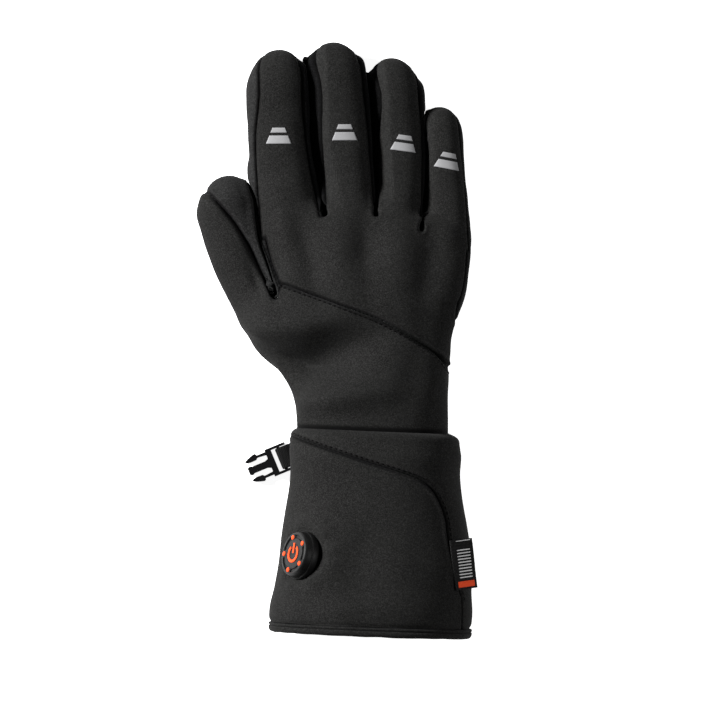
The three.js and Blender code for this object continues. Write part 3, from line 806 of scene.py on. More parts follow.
    def body(self) -> Skin:
        """Draws the skin of the whole hand from its distance field."""
        low, high = np.array([-98.0, self.rear - 3, -4.0]), np.array([68.0, 156.0, 62.0])
        axes = [np.arange(low[i], high[i], self.voxel) for i in range(3)]
        x, y = np.meshgrid(axes[0], axes[1], indexing="ij")
        z = axes[2].astype(np.float32)
        palm, within = self.palm_field(x, y, z)
        palm = palm.astype(np.float32)
        fingers = np.full(palm.shape, 40, np.float32)
        for digit in (*self.digits, self.thumb):
            along, aside = digit.frame(x, y)
            near = (along > -0.3 * digit.length) & (along < digit.length + 8)
            near &= np.abs(aside) < digit.width / 2 + 14
            spans = [np.nonzero(near.any(axis=axis))[0] for axis in (1, 0)]
            window = tuple(slice(span[0], span[-1] + 1) for span in spans)
            form = digit.field(x[window], y[window], z)
            if digit is self.thumb:
                palm[window] = blend_low(palm[window], form, self.thumb_round)
            else:
                fingers[window] = blend_low(fingers[window], form, self.finger_round)
        tight, wide = self.root_rounds
        radius = tight + (wide - tight) * self.root_inside.at(within)
        form = blend_low(palm, fingers, radius.astype(np.float32)[..., None])
        for crease in self.creases:
            self.cut_slot(form, crease, axes)
        form = np.maximum(form, (self.rear - y)[..., None]).astype(np.float32)
        grid = openvdb.FloatGrid(float(form.max()))
        grid.copyFromArray(np.ascontiguousarray(form), tolerance=0.0)
        grid.transform = openvdb.createLinearTransform(voxelSize=self.voxel)
        points, quads = grid.convertToQuads(isovalue=0.0)
        skin = Skin(np.asarray(points, float) + low, np.asarray(quads))
        kept = skin.centres()[:, 1] > self.rear + 0.4 * self.voxel
        return skin.piece_of(kept)[0]

    def cut_slot(self, form: Array, crease: Crease, axes: Sequence[Array]) -> None:
        """Presses the slot of a crease into the distance field, near the crease alone."""
        line = palm_points(crease.points)
        spans = [
            np.nonzero((axis > line[:, i].min() - 10) & (axis < line[:, i].max() + 10))[0]
            for i, axis in enumerate(axes[:2])
        ]
        window = tuple(slice(span[0], span[-1] + 1) for span in spans)
        x, y, z = np.meshgrid(axes[0][window[0]], axes[1][window[1]], axes[2], indexing="ij")
        away, _, run = crease.measure(x, y, z)
        half = crease.gap + crease.keyhole.at(run)
        over_web = z - (crease.web - crease.web_slope * run)
        slot = np.minimum(half - away, over_web).astype(np.float32)
        form[window] = blend_high(form[window], slot, self.slot_round)

    def region_fields(self) -> dict[Panel, Region]:
        """A signed distance field for each panel's region."""
        seams = self.seams
        round_the_hand = (seams.hand, seams.far_side, seams.thumb_side)
        hand_plan = np.vstack([smooth_line(palm_points(line), 10) for line in round_the_hand])
        plans = [hand_plan, *(digit.top_outline() for digit in self.digits)]
        thumb_line = smooth_line(palm_points(seams.thumb), 8)
        wrist_plan = np.vstack([palm_points(seams.wrist_outline), thumb_line])
        thumb_plan = np.vstack(
            [
                thumb_line,
                palm_points([(-1.2, 1.04), (-1.2, 1.5)]),
                smooth_line(palm_points(self.creases[-1].points), 5)[::-1],
            ]
        )

        def back(points: Array) -> Array:
            floor = seams.side_level(points[:, 1])
            return np.min([panel_field(points, plan, floor) for plan in plans], axis=0)

        def over(plan: Array) -> Region:
            return lambda points: panel_field(points, plan, seams.side_level(points[:, 1]))

        def beside(crease: Crease) -> Region:
            return lambda points: np.maximum(
                crease.measure(*points.T)[0] - seams.gusset_reach, seams.gusset_level - points[:, 2]
            )

        fields = {Panel.BACK: back, Panel.WRIST: over(wrist_plan), Panel.THUMB: over(thumb_plan)}
        return fields | {Panel(crease.name): beside(crease) for crease in self.creases[:-1]}

    def shape(self, skin: Skin) -> None:
        """Presses the fingers together and works the folds and dents into the upper side."""
        for crease in self.creases:
            away, side, run = crease.measure(*skin.points.T)
            narrowing = self.squeeze_reach.at(away) * self.squeeze_start.at(run)
            skin.points[:, 0] -= side * self.squeeze * away * narrowing
            near, far = crease.shoulders
            width = np.where(side > 0, far, near)
            fall = width * self.shoulder_fall.at(away / width) ** self.shoulder_fullness
            ridge = self.crotch_bead[0].at(away) * self.crotch_bead[1].at(run)
            change = ridge - fall * self.shoulder_start.at(run)
            skin.points[:, 2] += change * self.upper_half.at(skin.points[:, 2])
        normals = skin.normals()
        _, y, z = skin.points.T
        sink = sum(fold.sink(skin.points) for fold in self.folds) * self.facing_up.at(normals[:, 2])
        sink += lumps(skin.points, self.lumpiness) * self.off_table.at(z)
        skin.points -= normals * (sink * self.past_cuff.at(y))[:, None]

    def labels(self, skin: Skin, fields: dict[Panel, Region]) -> Array:
        """Says for each face which panel it belongs to."""
        centres = skin.centres()
        label = np.full(len(centres), len(Panel) - 1)
        for index, (_, region) in reversed(list(enumerate(fields.items()))):
            label[region(centres) < 0] = index
        return label

    def snap(self, skin: Skin, label: Array, fields: dict[Panel, Region]) -> Array:
        """Slides the points between two panels along the skin onto the seam.

        Args:
            skin: The hand's skin.
            label: The panel's number of each face.
            fields: The panels' distance fields.

        Returns:
            A mask of the points that lie on a seam.
        """
        lowest = np.full(len(skin.points), 99)
        highest = np.full(len(skin.points), -1)
        for corner in range(4):
            np.minimum.at(lowest, skin.quads[:, corner], label)
            np.maximum.at(highest, skin.quads[:, corner], label)
        normals = skin.normals()
        for index, region in enumerate(fields.values()):
            rows = np.nonzero((lowest == index) & (highest > index))[0]
            skin.slide(rows, normals, region, self.voxel)
        return highest > lowest

    def sink_seams(self, skin: Skin, on_seam: Array) -> Array:
        """Draws the skin in at the seams, swells it beside them and gives each point its painted
        shade, in the seams' grooves and under the cuff's rim.
        """
        x, y, z = skin.points.T
        away = nearest_distance(skin.points, skin.points[on_seam])
        upper, low = self.hand_seam_levels.at(z), self.thumb_seam_levels.at(z)
        change = np.zeros(len(skin.points))
        for line, lip, dips, share in (
            (self.seams.hand, self.hand_lip, (self.hand_dip,), upper),
            (self.seams.thumb, self.thumb_lip, self.thumb_dip, low),
        ):
            beside, side, _ = line_distance(x, y, smooth_line(palm_points(line), 10))
            change += (lip.at(beside) * (side < 0) - relief(dips, beside)) * share
        change += self.swell.at(away) - relief(self.groove, away)
        skin.points += skin.normals() * (change * self.seams_off_table.at(z))[:, None]
        skin.points[:, 2] = np.maximum(skin.points[:, 2], 0)
        # Painted shade: dark in the seams' grooves, and a painted shadow of the cuff's rim on the
        # wrist just past it.
        past_rim = y - RIM_Y - CuffForm.slant * (x - CUFF_MIDDLE)
        return np.maximum(painted_seam_shade(away), self.painted_rim_shadow.at(past_rim))

    def build(self, dress: Callable[[Panel], Material]) -> BVHTree:
        """Makes the hand's panels.

        Args:
            dress: Gives the cloth for a panel.

        Returns:
            A tree of the finished skin, to lay other pieces on.
        """
        skin = self.body()
        skin.relax(3)
        self.shape(skin)
        skin.relax(1)
        fields = self.region_fields()
        label = self.labels(skin, fields)
        on_seam = self.snap(skin, label, fields)
        skin.relax(2, np.where(on_seam, 0.0, 0.6))
        painted_shade = self.sink_seams(skin, on_seam)
        normals = skin.normals()
        for index, panel in enumerate(Panel):
            outside, kept = skin.piece_of(label == index)
            inside = outside.points - normals[kept] * self.wall
            inside[:, 2] = np.maximum(inside[:, 2], self.lowest_lining)
            name = panel.value.replace("_panel", "_cloth").replace("gusset", "side_walls")
            piece = new_object(name, *walled(outside, inside), dress(panel))
            note_painted_shade(piece, np.tile(painted_shade[kept], 2))
            slot = Slot.PALM if panel in (Panel.PALM, Panel.THUMB) else Slot.OUTER
            seat(piece, slot.value, panel.value)
        return skin.tree()


# The cuff


def painted_seam_shade(away: Array) -> Array:
    """How much painted shade the cloth gets at a distance from a seam, for the shade in its groove,
    from 0 to 1.
    """
    return np.minimum(Relief(1.7, 1.0).at(away), 1)


def note_painted_shade(piece: Piece, painted_shade: Array) -> None:
    """Notes on a piece's points their painted shade, from seam grooves and the cuff's rim, for its
    cloth to darken there.
    """
    layer = piece.data.attributes.new("painted_shade", "FLOAT", "POINT")
    layer.data.foreach_set("value", painted_shade.astype(np.float32))


def section_points(middle: Array, slant: float, sizes: Sequence[float], turns: Array) -> Array:
    """The points of a soft section at turns round it.

    Args:
        middle: The plan point of its middle.
        slant: How far it runs forward per millimetre across.
        sizes: Half of its width, its bottom, its side height and its top.
        turns: The turns, in radians.

    Returns:
        The points.
    """
    half, bottom, side, top = sizes
    cos, sin = np.cos(turns), np.sin(turns)
    out = half * np.sign(cos) * np.abs(cos) ** CROWN_FULLNESS
    lift = np.sign(sin) * np.abs(sin) ** CROWN_FULLNESS
    drop = np.minimum(1, PRESSING * (1 - (1 + lift) ** 2))
    height = np.where(lift > 0, side + (top - side) * lift, side - (side - bottom) * drop)
    return np.stack([middle[0] + out, middle[1] + slant * out, height], axis=-1)


@dataclass
class CuffForm:
    """The cuff's outline from the rim to the hem."""

    sections: Rows = (
        (0, 0.79, -0.01, 0.76), (0.018, 0.83, -0.003, 0.79), (0.06, 0.85, 0, 0.81),
        (0.214, 0.85, 0.002, 0.83), (0.447, 0.904, 0, 0.89), (0.68, 0.97, 0.001, 0.96),
        (0.773, 0.984, -0.01, 0.98), (0.874, 1.009, -0.02, 1), (1, 0.99, -0.025, 0.99),
    )
    slant: float = -math.tan(math.radians(2.2))
    button_spot: tuple[float, float, float] = (0.618, 138, 17)

    def at(self, down: float, turns: Array, grow: float = 0.0) -> Array:
        """The points at a share of the cuff's length, at turns round it, moved outwards by grow."""
        downs, widths, shifts, heights = np.array(self.sections).T
        rows = (widths, shifts, heights)
        width, shift, height = (float(smooth_table(downs, row, np.array(down))) for row in rows)
        top = height * CUFF_HEIGHT
        middle = (CUFF_MIDDLE + shift * CUFF_WIDTH, RIM_Y - down * CUFF_LENGTH)
        sizes = (width * CUFF_WIDTH / 2 + grow, max(-grow, 0.0), top * SIDE_SHARE, top + grow)
        return section_points(middle, self.slant, sizes, turns)

    def ring(self, down: float, grow: float, count: int) -> Array:
        """An evenly spaced ring of points, starting in the middle of the underside."""
        turns = np.linspace(-math.pi / 2, 1.5 * math.pi, 721)
        dense = self.at(down, turns, grow)
        run = path_run(dense)
        even = np.linspace(0, run[-1], count, endpoint=False)
        return np.stack([np.interp(even, run, column) for column in dense.T], axis=-1)

    def frame(self, down: float, turn: float, tilt: float) -> Matrix:
        """A frame on the cuff, in millimetres: Z outwards and tilted, Y towards the fingers."""

        def point(share: float, at_turn: float) -> Vector:
            return Vector(self.at(share, np.array([at_turn]))[0])

        angle, step, swing = math.radians(turn), 0.05, math.radians(4)
        along = (point(down - step, angle) - point(down + step, angle)).normalized()
        around = (point(down, angle - swing) - point(down, angle + swing)).normalized()
        normal = around.cross(along).normalized()
        forward = normal.cross(around)
        upright = Matrix((around, forward, normal)).transposed().to_4x4()
        tilted = Matrix.Rotation(math.radians(-tilt), 4, "Y")
        return Matrix.Translation(point(down, angle)) @ upright @ tilted


def seen_from(place: Matrix, points: Array) -> Array:
    """Points as seen from a frame, both in millimetres."""
    return (points - np.array(place.translation)) @ np.array(place.to_3x3())


@dataclass
class Cuff:
    """The long flared cuff: a folded rim, a panel and a wedge that meet at a curving seam."""

    form: CuffForm
    around: int
    step: float
    wall: float = 3.2
    hem: float = 5.8
    seam: Rows = (
        (-0.412, 0.024), (-0.3, 0.065), (-0.059, 0.145), (0.183, 0.222), (0.268, 0.27),
        (0.32, 0.348), (0.35, 0.433), (0.36, 0.511), (0.385, 0.64), (0.415, 0.773), (0.43, 0.85),
        (0.425, 1.1),
    )
    folds: tuple[Fold, ...] = (
        Fold(-24, -86, 24, 6, -12, -0.7),
        Fold(-6, -100, 30, 9, -14, 0.9),
        Fold(36, -86, 14, 7, -20, -0.6),
        Fold(-34, -112, 16, 8, 60, 0.7),
        Fold(-12, -140, 10, 26, 8, 0.9),
        Fold(16, -150, 12, 30, -6, -0.8),
        Fold(50, -120, 30, 5, 100, -0.6),
        Fold(-6, -168, 30, 7, 6, -0.6),
    )
    lumpiness: Rows = ((0.35, 52, 7), (0.13, 21, 8))
    pocket: float = 4.8
    rim_bead: Relief = Relief(0.3, 2.6, 3.4)
    rim_dip: tuple[Relief, ...] = (Relief(0.3, 2.4, 9.5), Relief(1.1, 6))
    hem_dip: Relief = Relief(0.9, 1.3)
    lip: Relief = Relief(0.6, 1.1, 1.8)
    groove: tuple[Relief, ...] = (Relief(1.0, 0.8), Relief(0.15, 3.4))
    pucker: Relief = Relief(0.45, 3.5, 18)
    mound: Relief = Relief(0.8, 4, 19)
    cup: Relief = Relief(1.2, 1.2, 14.2)
    cup_floor: float = 3.6
    cup_edge: Ramp = Ramp(13.8, 11.5)
    pocket_edge: Ramp = Ramp(26, 16)
    near_button: Ramp = Ramp(26, 14)
    facing_up: Ramp = Ramp(0.0, 0.7)
    past_rim: Ramp = Ramp(RIM_Y - 1.5, RIM_Y - 9)
    off_table: Ramp = Ramp(0.6, 6)
    seam_past_rim: Ramp = Ramp(RIM_Y, RIM_Y - 1.5)
    seam_off_table: Ramp = Ramp(0.2, 2)
    seam_facing_up: Ramp = Ramp(0.05, 0.45)
    seam_on_sides: float = 0.35
    lean: Relief = Relief(math.tan(math.radians(CuffForm.button_spot[2])), 21)

    def stations(self) -> Array:
        """Distances from the rim at which the rings lie, close together over the rolled edge."""
        roll, length = self.wall / 2, CUFF_LENGTH - self.hem
        rolled = roll * (1 - np.cos(np.radians([0, 25, 50, 72, 90])))
        return np.concatenate([rolled, np.arange(roll + self.step, length, self.step), [length]])

    def skins(self, button: Matrix) -> tuple[Skin, Array]:
        """Makes the outer skin and the lining under it, which meet at the rolled rim."""
        roll, hem_start = self.wall / 2, CUFF_LENGTH - self.hem
        outer, inner = [], []
        for s in self.stations():
            turn_in = roll - math.sqrt(max(roll**2 - max(roll - s, 0) ** 2, 0))
            dip = relief(self.rim_dip, s) + self.hem_dip.at(hem_start - s)
            grow = float(self.rim_bead.at(s) * Ramp(0, roll).at(s) - dip) - turn_in
            outer.append(self.form.ring(s / CUFF_LENGTH, grow, self.around))
            inner.append(self.form.ring(s / CUFF_LENGTH, turn_in - self.wall, self.around))
        skin = Skin(np.vstack(outer), ring_quads(len(outer), self.around))
        skin.face_outwards()
        self.shape(skin, button)
        inside = np.vstack(inner)
        x, y, z = seen_from(button, inside).T
        bulge = np.maximum(z + self.pocket, 0) * self.pocket_edge.at(np.hypot(x, y))
        return skin, inside - bulge[:, None] * np.array(button.to_3x3())[:, 2]

    def shape(self, skin: Skin, button: Matrix) -> None:
        """Works folds, dents and the puckers round the button into the outer skin."""
        normals = skin.normals()
        sink = sum(fold.sink(skin.points) for fold in self.folds) * self.facing_up.at(normals[:, 2])
        sink += lumps(skin.points, self.lumpiness) * self.off_table.at(skin.points[:, 2])
        x, y, z = seen_from(button, skin.points).T
        radius, angle = np.hypot(x, y), np.arctan2(y, x)
        ripple = self.pucker.at(radius) * np.cos(9 * angle + 1.5 * np.sin(2 * angle))
        cup = self.cup.at(radius) + self.cup_floor * self.cup_edge.at(radius)
        seat_of_button = ripple + cup - self.mound.at(radius) - self.lean.at(radius) * x
        sink += seat_of_button * self.near_button.at(np.abs(z))
        skin.points -= normals * (sink * self.past_rim.at(skin.points[:, 1]))[:, None]

    def region(self) -> Region:
        """The signed distance to the wedge's region."""
        line = smooth_line(cuff_points(self.seam), 8)
        outline = np.vstack([line, cuff_points([(2, 1.1), (2, -0.5), (-2, -0.5), (-2, -0.02)])])
        return lambda points: plan_distance(points[:, 0], points[:, 1], outline)

    def build(self, button: Matrix, cloth: Material, lining: Material) -> BVHTree:
        """Makes the cuff's panel and wedge.

        Args:
            button: The button's frame.
            cloth: The outer cloth.
            lining: The finish of the inside.

        Returns:
            A tree of the finished skin, to lay other pieces on.
        """
        skin, inside = self.skins(button)
        region = self.region()
        wedge = region(skin.centres()) < 0
        count = len(skin.points)
        on_wedge, on_panel = (
            np.bincount(skin.quads[mask].ravel(), minlength=count) > 0 for mask in (wedge, ~wedge)
        )
        rows = np.nonzero(on_wedge & on_panel)[0]
        skin.slide(rows, skin.normals(), region, self.step)
        away = nearest_distance(skin.points, skin.points[rows])
        self.sink_seam(skin, away, region(skin.points) > 0)
        x, y, _ = skin.points.T
        hem = CUFF_LENGTH - self.hem + RIM_Y + y - self.form.slant * (x - CUFF_MIDDLE)
        # Painted shade in the seam's groove and along the hem line.
        painted_shade = painted_seam_shade(np.minimum(away, np.abs(hem)))
        for name, node, mask in (
            ("cuff_cloth", "cuff_panel", ~wedge),
            ("cuff_wedge_cloth", "cuff_wedge_panel", wedge),
        ):
            outside, kept = skin.piece_of(mask)
            piece = new_object(name, *walled(outside, inside[kept]), cloth, lining)
            note_painted_shade(piece, np.tile(painted_shade[kept], 2))
            half = len(outside.quads)
            for face in piece.data.polygons[half : 2 * half]:
                face.material_index = 1
            seat(piece, Slot.OUTER.value, node)
        return skin.tree()

    def sink_seam(self, skin: Skin, away: Array, on_panel: Array) -> None:
        """Draws the skin in at the seam and raises a lip on the panel's side of it."""
        normals = skin.normals()
        _, y, z = skin.points.T
        facing = self.seam_facing_up.at(normals[:, 2])
        clear = self.seam_off_table.at(z) * self.seam_past_rim.at(y)
        clear *= self.seam_on_sides + (1 - self.seam_on_sides) * facing
        change = self.lip.at(away) * on_panel - relief(self.groove, away)
        skin.points += normals * (change * clear)[:, None]
        skin.points[:, 2] = np.maximum(skin.points[:, 2], 0)


@dataclass
class HemBand:
    """The padded band that binds the cuff's open end."""

    form: CuffForm
    around: int
    height: float = 5.5
    piping: float = 1.9
    lumpiness: Rows = ((0.12, 14, 11),)
    profile: Rows = (
        (0, -1.3), (0.1, -0.3), (0.4, 0.3), (0.9, 0.65), (1.5, 0.4), (1.9, 0.05), (2.2, 0.5),
        (2.8, 0.78), (3.7, 0.72), (4.5, 0.45), (5.1, -0.05), (5.45, -0.9), (5.5, -1.8),
        (5.35, -2.6), (4.8, -3.2), (3.8, -3.55), (2.4, -3.65), (1, -3.5), (0.1, -3.1), (0, -1.9),
    )

    def build(self, cloth: Material) -> None:
        """Makes the band as one closed ring."""
        start = CUFF_LENGTH - self.height
        rings = [
            self.form.ring((start + s) / CUFF_LENGTH, grow, self.around) for s, grow in self.profile
        ]
        skin = Skin(np.vstack(rings), ring_quads(len(rings), self.around, closed=True))
        skin.points += skin.normals() * lumps(skin.points, self.lumpiness)[:, None]
        skin.points[:, 2] = np.maximum(skin.points[:, 2], 0)
        piece = new_object("hem_binding", skin.points, skin.quads, cloth)
        # Painted shade along the band's upper edge and in its piping groove.
        near = [float(grow > -2 and (s < 0.2 or s == self.piping)) for s, grow in self.profile]
        note_painted_shade(piece, np.repeat(near, self.around))
        outward(piece)
        seat(piece, Slot.OUTER.value, "hem_band")


# Finishes


class Slot(Enum):
    """The record's material slots."""

    OUTER = "outer_cloth"
    PALM = "palm_cloth"
    RUBBER = "button_rubber"
    ORANGE = "orange_print"
    PLASTIC = "buckle_plastic"
    TAPE = "woven_tape"
    MARK = "reflective_print"


Colour = tuple[float, float, float]


def add_node(tree: Tree, kind: str, inputs: dict | None = None, **settings: object) -> Node:
    """Adds a node to a tree.

    Args:
        tree: The tree.
        kind: The node's type.
        inputs: A value, or another node's socket, for each named or numbered input.
        settings: The node's settings.

    Returns:
        The node.
    """
    made = tree.nodes.new(kind)
    for key, value in settings.items():
        setattr(made, key, value)
    for key, value in (inputs or {}).items():
        if isinstance(value, Socket):
            tree.links.new(value, made.inputs[key])
        else:
            made.inputs[key].default_value = value
    return made


def new_group(
    name: str, inputs: dict[str, float], outputs: Sequence[str]
) -> tuple[Tree, dict[str, Socket]]:
    """Starts a shader group with a vector and some numbers going in and some values coming out.

    Args:
        name: The group's name.
        inputs: Its number inputs and their usual values.
        outputs: Its outputs.

    Returns:
        The group and the sockets that its inputs arrive at.
    """
    group = bpy.data.node_groups.new(name, "ShaderNodeTree")
    group.interface.new_socket("Vector", in_out="INPUT", socket_type="NodeSocketVector")
    for label, value in inputs.items():
        socket = group.interface.new_socket(label, in_out="INPUT", socket_type="NodeSocketFloat")
        socket.default_value = value
    for label in outputs:
        group.interface.new_socket(label, in_out="OUTPUT", socket_type="NodeSocketFloat")
    arriving = group.nodes.new("NodeGroupInput")
    return group, {label: arriving.outputs[label] for label in ("Vector", *inputs)}


def end_group(group: Tree, values: dict[str, Socket]) -> None:
    """Joins values to a group's outputs."""
    out = group.nodes.new("NodeGroupOutput")
    for label, value in values.items():
        group.links.new(value, out.inputs[label])


def noise(tree: Tree, vector: object, scale: object, **more: float) -> Socket:
    """Adds a noise texture, with any more inputs by their names."""
    inputs = {name.title(): value for name, value in more.items()}
    inputs |= {"Vector": vector, "Scale": scale}
    return add_node(tree, "ShaderNodeTexNoise", inputs).outputs[0]


def blend_colour(tree: Tree, share: object, a: object, b: object) -> Socket:
    """Mixes two colours by a share."""
    return add_node(tree, "ShaderNodeMix", {0: share, 6: a, 7: b}, data_type="RGBA").outputs[2]


def calculate(tree: Tree, operation: str, *values: object) -> Socket:
    """Puts values through one operation."""
    return add_node(tree, "ShaderNodeMath", dict(enumerate(values)), operation=operation).outputs[0]


def spread(
    tree: Tree, value: object, low: object, high: float, start: float = 0, end: float = 1
) -> Socket:
    """Maps a value's range onto another one."""
    inputs = {"Value": value, "From Min": low, "From Max": high, "To Min": start, "To Max": end}
    return add_node(tree, "ShaderNodeMapRange", inputs).outputs[0]


@dataclass
class Effects:
    """The shader groups that several finishes share."""

    fleck: Tree = field(init=False)
    patches: Tree = field(init=False)
    weave: Tree = field(init=False)

    def __post_init__(self) -> None:
        """Builds each group once."""
        inputs = {"Yarn Scale": 1200, "Bareness": 0.5}
        self.fleck, given = new_group("yarn_fleck", inputs, ("Fleck", "Height"))
        tree, vector, scale = self.fleck, given["Vector"], given["Yarn Scale"]
        fine = noise(tree, vector, scale, detail=3.0, roughness=0.65)
        coarse = noise(tree, vector, calculate(tree, "MULTIPLY", scale, 0.37), detail=2.0)
        shares = ((fine, 0.85), (coarse, 0.15))
        height = calculate(tree, "ADD", *(calculate(tree, "MULTIPLY", *share) for share in shares))
        end_group(tree, {"Fleck": spread(tree, height, given["Bareness"], 0.72), "Height": height})

        self.patches, given = new_group("soft_patches", {"Patch Scale": 30}, ("Mask",))
        cloud = noise(self.patches, given["Vector"], given["Patch Scale"], detail=4.0)
        end_group(self.patches, {"Mask": spread(self.patches, cloud, 0.35, 0.65)})

        self.weave, given = new_group("tape_weave", {"Thread Scale": 900}, ("Thread", "Height"))
        tree = self.weave
        parts = add_node(tree, "ShaderNodeSeparateXYZ", {"Vector": given["Vector"]})
        waves = []
        for axis, pace in ((0, 1.0), (1, 0.5)):
            turns = calculate(tree, "MULTIPLY", given["Thread Scale"], 2 * math.pi * pace)
            phase = calculate(tree, "MULTIPLY", parts.outputs[axis], turns)
            waves.append(calculate(tree, "SINE", phase))
        crossed = calculate(tree, "MULTIPLY", *waves)
        halves = [calculate(tree, "MULTIPLY", wave, 0.5) for wave in (waves[0], crossed)]
        height = calculate(tree, "ADD", *halves)
        end_group(tree, {"Thread": spread(tree, crossed, -1, 1), "Height": height})

    def place(
        self, tree: Tree, group: Tree, vector: object, **values: float
    ) -> Node:
        """Places a group in a material with its own values."""
        made = add_node(tree, "ShaderNodeGroup", node_tree=group)
        tree.links.new(vector, made.inputs["Vector"])
        for label, value in values.items():
            made.inputs[label.replace("_", " ").title()].default_value = value
        return made


@dataclass(frozen=True)
class Finish:
    """What every finish has: a name, two colours, roughness and relief."""

    name: str
    dark: Colour
    light: Colour
    rough: tuple[float, float] = (0.8, 0.95)
    relief: float = 0.1
    specular: float = 0.05

    def start(self) -> tuple[Material, Tree, Node]:
        """Starts the material with its shader."""
        material = bpy.data.materials.new(self.name)
        material.use_nodes = True
        tree = material.node_tree
        shader = tree.nodes["Principled BSDF"]
        shader.inputs["Specular IOR Level"].default_value = self.specular
        return material, tree, shader

    def finish(
        self, tree: Tree, shader: Node, mask: object, height: object, reach: float
    ) -> None:
        """Joins the mask and the relief to the shader.

        Args:
            tree: The material's tree.
            shader: Its shader.
            mask: The share of the light colour.
            height: The relief.
            reach: The relief's height, in metres.
        """
        colour = blend_colour(tree, mask, (*self.dark, 1), (*self.light, 1))
        tree.links.new(colour, shader.inputs["Base Color"])
        smoothest, roughest = self.rough
        rough = spread(tree, mask, 0, 1, roughest, smoothest)
        tree.links.new(rough, shader.inputs["Roughness"])
        relief_inputs = {"Strength": self.relief, "Distance": reach, "Height": height}
        bump = add_node(tree, "ShaderNodeBump", relief_inputs)
        tree.links.new(bump.outputs[0], shader.inputs["Normal"])


@dataclass(frozen=True)
class Cloth(Finish):
    """A brushed, flecked knit with a soft sheen."""

    yarn: float = 1900.0
    bareness: float = 0.44
    sheen: float = 0.02
    # How deep and how near black the painted shade is, in seam grooves and under the cuff's rim.
    painted_shade_depth: float = 0.97
    painted_shade_colour: Colour = (0.001, 0.001, 0.001)

    def build(self, effects: Effects) -> Material:
        """Builds the material."""
        material, tree, shader = self.start()
        place = add_node(tree, "ShaderNodeTexCoord").outputs["Object"]
        knit = {"yarn_scale": self.yarn, "bareness": self.bareness}
        fleck = effects.place(tree, effects.fleck, place, **knit)
        patch = effects.place(tree, effects.patches, place, patch_scale=38)
        shares = ((fleck.outputs["Fleck"], 0.9), (patch.outputs[0], 0.05))
        mask = calculate(tree, "ADD", *(calculate(tree, "MULTIPLY", *share) for share in shares))
        self.finish(tree, shader, mask, fleck.outputs["Height"], 0.0006)
        plain = shader.inputs["Base Color"].links[0].from_socket
        # Painted shade: the colour darkens towards near black where a point's painted shade is
        # high.
        near = add_node(tree, "ShaderNodeAttribute", attribute_name="painted_shade").outputs["Fac"]
        depth = calculate(tree, "MULTIPLY", near, self.painted_shade_depth)
        shaded = blend_colour(tree, depth, plain, (*self.painted_shade_colour, 1))
        tree.links.new(shaded, shader.inputs["Base Color"])
        shader.inputs["Sheen Weight"].default_value = self.sheen
        shader.inputs["Sheen Roughness"].default_value = 0.45
        return material


@dataclass(frozen=True)
class Moulded(Finish):
    """Moulded rubber or plastic, with a fine skin and a little dust."""

    grain: float = 2200.0
    coat: float = 0.0

    def build(self, effects: Effects) -> Material:
        """Builds the material."""
        material, tree, shader = self.start()
        place = add_node(tree, "ShaderNodeTexCoord").outputs["Object"]
        skin = effects.place(tree, effects.fleck, place, yarn_scale=self.grain, bareness=0.5)
        patch = effects.place(tree, effects.patches, place, patch_scale=160)
        mask = calculate(tree, "MULTIPLY", skin.outputs["Fleck"], patch.outputs[0])
        self.finish(tree, shader, mask, skin.outputs["Height"], 0.0002)
        shader.inputs["Coat Weight"].default_value = self.coat
        shader.inputs["Coat Roughness"].default_value = 0.12
        return material


@dataclass(frozen=True)
class Woven(Finish):
    """A woven tape whose threads follow its own map."""

    thread: float = 1100.0

    def build(self, effects: Effects) -> Material:
        """Builds the material."""
        material, tree, shader = self.start()
        place = add_node(tree, "ShaderNodeTexCoord").outputs["UV"]
        weave = effects.place(tree, effects.weave, place, thread_scale=self.thread)
        self.finish(tree, shader, weave.outputs["Thread"], weave.outputs["Height"], 0.0003)
        shader.inputs["Sheen Weight"].default_value = 0.04
        return material


# Small pieces


def with_map(piece: Piece, places: Array) -> Piece:
    """Gives a piece a map of its own, in metres.

    Args:
        piece: The piece.
        places: The map's place for each point, in millimetres.

    Returns:
        The piece.
    """
    layer = piece.data.uv_layers.new(name="map")
    corners = np.empty(len(piece.data.loops), int)
    piece.data.loops.foreach_get("vertex_index", corners)
    layer.data.foreach_set("uv", (np.asarray(places)[corners] * MM).ravel())
    return piece


def place_piece(piece: Piece, place: Matrix) -> None:
    """Moves a piece's mesh, in metres, to a frame in millimetres."""
    metres = place.copy()
    metres.translation = place.translation * MM
    piece.data.transform(metres)


def outward(piece: Piece) -> None:
    """Turns a closed piece's faces outwards."""
    choose(piece)
    bpy.ops.object.mode_set(mode="EDIT")
    bpy.ops.mesh.select_all(action="SELECT")
    bpy.ops.mesh.remove_doubles(threshold=1e-6)
    bpy.ops.mesh.normals_make_consistent(inside=False)
    bpy.ops.object.mode_set(mode="OBJECT")


def turned(name: str, profile: Rows, material: Material, sides: int = 96) -> Piece:
    """Turns a round piece: a disc that is extruded and resized from ring to ring.

    Args:
        name: The piece's name.
        profile: Radius and height of each ring, in millimetres.
        material: Its finish.
        sides: How many sides the rings have.

    Returns:
        The piece.
    """
    bpy.ops.object.select_all(action="DESELECT")
    radius, level = profile[0]
    bpy.ops.mesh.primitive_circle_add(
        vertices=sides,
        radius=radius * MM,
        fill_type="NGON",
        location=(0, 0, level * MM),
        enter_editmode=True,
    )
    for next_radius, next_level in profile[1:]:
        shift = (0, 0, (next_level - level) * MM)
        bpy.ops.mesh.extrude_region_move(TRANSFORM_OT_translate={"value": shift})
        size = next_radius / radius
        bpy.ops.transform.resize(value=(size, size, 1), center_override=(0, 0, next_level * MM))
        radius, level = next_radius, next_level
    bpy.ops.object.mode_set(mode="OBJECT")
    piece = bpy.context.active_object
    bpy.ops.object.transform_apply(location=True, rotation=True, scale=True)
    piece.name = name
    piece.data.materials.append(material)
    outward(piece)
    return piece


